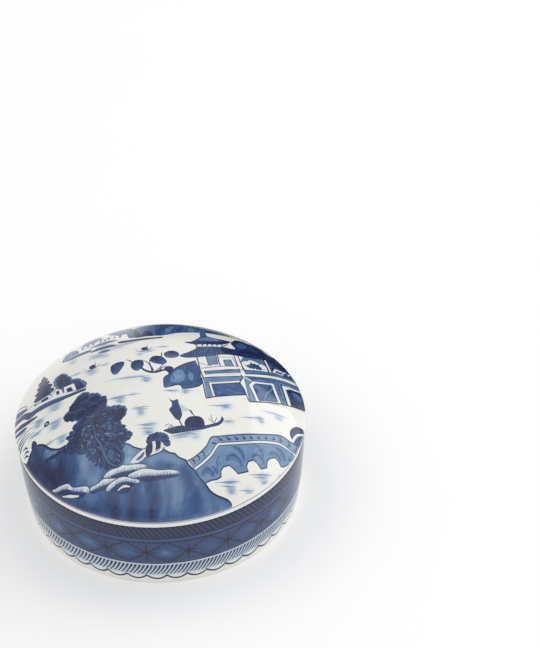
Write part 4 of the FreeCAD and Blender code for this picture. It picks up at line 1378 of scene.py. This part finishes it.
def make_lid_glaze():
    finish = Finish("lid_glaze", **GLAZE)
    place, x, y, z = in_millimetres(finish)
    stored = finish.node("ShaderNodeAttribute", {"attribute_name": "cobalt"})[1]
    brush = finish.node("ShaderNodeAttribute", {"attribute_name": "brush"})[1]
    tone, streak, mottle = finish.node("ShaderNodeSeparateXYZ", {}, [stored])
    u, v, _ = finish.node("ShaderNodeSeparateXYZ", {}, [brush])
    bend = finish.noise(place, 0.11, 2.0) * 6
    fine = finish.node("ShaderNodeCombineXYZ", {}, [u * 0.16, v * 0.9 + bend, 0.0])[0]
    broad = finish.node("ShaderNodeCombineXYZ", {}, [u * 0.06, v * 0.24 + bend * 0.3, 5.0])[0]
    streaks = finish.noise(fine, 1.0, 2.0) + finish.noise(broad, 1.0, 2.0) * 1.3
    speckle = finish.noise(place, 1.3, 3.0, 0.65)
    # painted shade: a fine blue-grey line all round the crease, just above the lid's plain band
    crease_shade = finish.line(z - CREASE_SHADE_HEIGHT, 0.22, 0.12) * finish.step((x * x + y * y).sqrt(), 50.0, 50.3) * 0.42
    thickness = (tone * (1 + streaks * streak * 0.6 + speckle * mottle * 0.45)).most(crease_shade)
    return fire(finish, place, cobalt(finish, thickness))


# %% Lid
def make_lid():
    flat, faces, middles = skin_of_marks()
    print(len(flat), "points and", len(faces), "triangles in the printed skin")
    glaze, brush = lay_cobalt(flat, faces, middles)
    places = on_lid(flat)
    work = bmesh.new()
    cobalt_layer = work.loops.layers.float_vector.new("cobalt")
    brush_layer = work.loops.layers.float_vector.new("brush")
    points = [work.verts.new(p * MM) for p in places]
    for trio, tones, ways in zip(faces, glaze, brush):
        try:
            face = work.faces.new([points[i] for i in trio])
        except ValueError:
            continue
        for loop, stored, along in zip(face.loops, tones, ways):
            loop[cobalt_layer] = stored
            loop[brush_layer] = (*along, 0)

    # crease, plain band, inner ring and hollow, as one profile that closes the skin from below
    hollow = dome - shell
    bend_r, rim_edge, ring_edge, ring_root = ring_in * 0.88, 0.4, 0.8, 3.0
    rest = arc_points((crease_r, crease_z), crease, crease_angle + math.pi, math.pi, 5)
    rest += softened([(rim, crease_z, 0), (rim, seam, rim_edge), (ring_out, seam, 0),
        (ring_out, ring_bottom, ring_edge), (ring_in, ring_bottom, ring_edge),
        (ring_in, dome_z + math.sqrt(hollow ** 2 - ring_in ** 2), ring_root),
        (bend_r, dome_z + math.sqrt(hollow ** 2 - bend_r ** 2), 0)])[1:]
    start = math.acos(bend_r / hollow)
    rest += arc_points((0, dome_z), hollow, start, math.pi / 2, 24)[1:]
    spun(work, rest)
    return finished(work, "domed_lid", "lid", make_lid_glaze(), "lid")


domed_lid = make_lid()

# %% [markdown]
# ## Studio
# The box stands on white paper in an even pale surround, lit by two large soft lamps, as for a
# catalogue.  Smaller lamps would put hard bright spots on the glaze.  The paper glows very
# slightly, so that it comes out white.  A dark card behind the box shows only as a reflection
# in the back of the lid, which gives the dome its shape against the white.

# %% Floor
def closed(work, name, finish):
    """Closes a bmesh into an object of the studio, which isn't part of the box."""
    mesh = bpy.data.meshes.new(name)
    work.to_mesh(mesh)
    work.free()
    mesh.materials.append(finish.material)
    prop = bpy.data.objects.new(name, mesh)
    bpy.context.collection.objects.link(prop)
    sides = [v.co.x for v in mesh.vertices]
    print("%s, %.2f m from left to right" % (name, max(sides) - min(sides)))
    return prop


def make_floor():
    work = bmesh.new()
    bmesh.ops.create_grid(work, x_segments=8, y_segments=8, size=3.0)
    finish = Finish("studio_floor", Roughness=0.9)
    paper = 0.98 + finish.noise(in_millimetres(finish)[0], 0.02, 2.0) * 0.01
    finish.feed("Base Color", finish.node("ShaderNodeCombineColor", {}, [paper, paper, paper])[0])
    finish.shader.inputs["Emission Color"].default_value = (1, 1, 1, 1)
    finish.shader.inputs["Emission Strength"].default_value = 0.09
    floor = closed(work, "floor", finish)


make_floor()


# %% Lamps and surround
def make_lamp(name, place, size, power):
    """An elliptical softbox that faces the box; place and size in metres, power in watts."""
    lamp = bpy.data.lights.new(name, "AREA")
    lamp.shape, lamp.size, lamp.size_y, lamp.energy = "ELLIPSE", size[0], size[1], power
    holder = bpy.data.objects.new(name, lamp)
    bpy.context.collection.objects.link(holder)
    holder.location = place
    holder.rotation_euler = (-Vector(place)).to_track_quat("-Z", "Y").to_euler()
    print(name, "of", power, "W at", place)


def make_surround(brightness):
    """An even grey-white all round."""
    world = bpy.data.worlds.new("surround")
    world.use_nodes = True
    grey = (brightness, brightness, brightness, 1)
    world.node_tree.nodes["Background"].inputs["Color"].default_value = grey
    bpy.context.scene.world = world


make_lamp("overhead_softbox", (-0.2, -0.1, 1.6), (2.7, 2.7), 9.4)
make_lamp("right_softbox", (1.15, 0.28, 0.50), (1.7, 0.8), 5.0)
make_surround(0.62)
bpy.context.scene.view_settings.view_transform = "Standard"


# %% Dark card
CARD_LONG, CARD_TALL, CARD_TURN = 125, 68, math.radians(32)
CLOTH_HALF = 62
CARD_X, CARD_Y, CARD_Z = 37, 62, 34
FEATHER_ENDS, FEATHER_TOP = 22, 16


def make_dark_card():
    """A dark card with feathered ends and top, behind the box on the right, for reflections only."""
    work = bmesh.new()
    bmesh.ops.create_grid(work, x_segments=2, y_segments=2, size=0.5)
    bmesh.ops.scale(work, vec=(CARD_LONG * MM, CARD_TALL * MM, 1), verts=work.verts)
    for turn, axis in ((math.pi / 2, "X"), (-CARD_TURN, "Z")):
        bmesh.ops.rotate(work, cent=(0, 0, 0), matrix=Matrix.Rotation(turn, 3, axis), verts=work.verts)
    bmesh.ops.translate(work, vec=(CARD_X * MM, CARD_Y * MM, CARD_Z * MM), verts=work.verts)
    finish = Finish("flag_cloth", Roughness=0.9)
    place, x, y, z = in_millimetres(finish)
    shade = finish.noise(place, 0.05, 2.0) * 0.01
    cloth = finish.node("ShaderNodeCombineColor", {}, [0.022 + shade, 0.032 + shade, 0.07 + shade])[0]
    finish.feed("Base Color", cloth)
    along = (x - CARD_X) * math.cos(CARD_TURN) - (y - CARD_Y) * math.sin(CARD_TURN)
    ends = finish.step(CLOTH_HALF - abs(along), 0, FEATHER_ENDS)
    finish.feed("Alpha", ends * finish.step(CARD_TALL - z, 0, FEATHER_TOP))
    flag = closed(work, "flag", finish)
    flag.visible_camera = flag.visible_diffuse = flag.visible_shadow = flag.visible_transmission = False


make_dark_card()

# %% [markdown]
# ## Camera
# A long lens, well back and looking down at about forty degrees, keeps the circles nearly
# true ellipses, where a wide lens near the box would stretch its front.  The head is panned and
# rolled a little, so that the box stands low and to the left of the frame.

# %% Camera
LENS, SENSOR = 400 / 3, 36.0
STAND_BACK, STAND_UP = 12.5684, 11.6461
PAN, TILT, ROLL = math.radians(3.56), math.radians(39.05), math.radians(-1.685)
camera_data = bpy.data.cameras.new("camera")
camera_data.sensor_width = SENSOR
camera_data.lens = LENS
camera = bpy.data.objects.new("camera", camera_data)
bpy.context.collection.objects.link(camera)
stand = Matrix.Translation((0, -STAND_BACK * rim * MM, STAND_UP * rim * MM))
head = Matrix.Rotation(-PAN, 4, "Z") @ Matrix.Rotation(math.pi / 2 - TILT, 4, "X")
camera.matrix_world = stand @ head @ Matrix.Rotation(ROLL, 4, "Z")
bpy.context.scene.camera = camera
print("lens %.0f mm, %.2f m from the box" % (LENS, math.hypot(STAND_BACK, STAND_UP) * rim * MM))
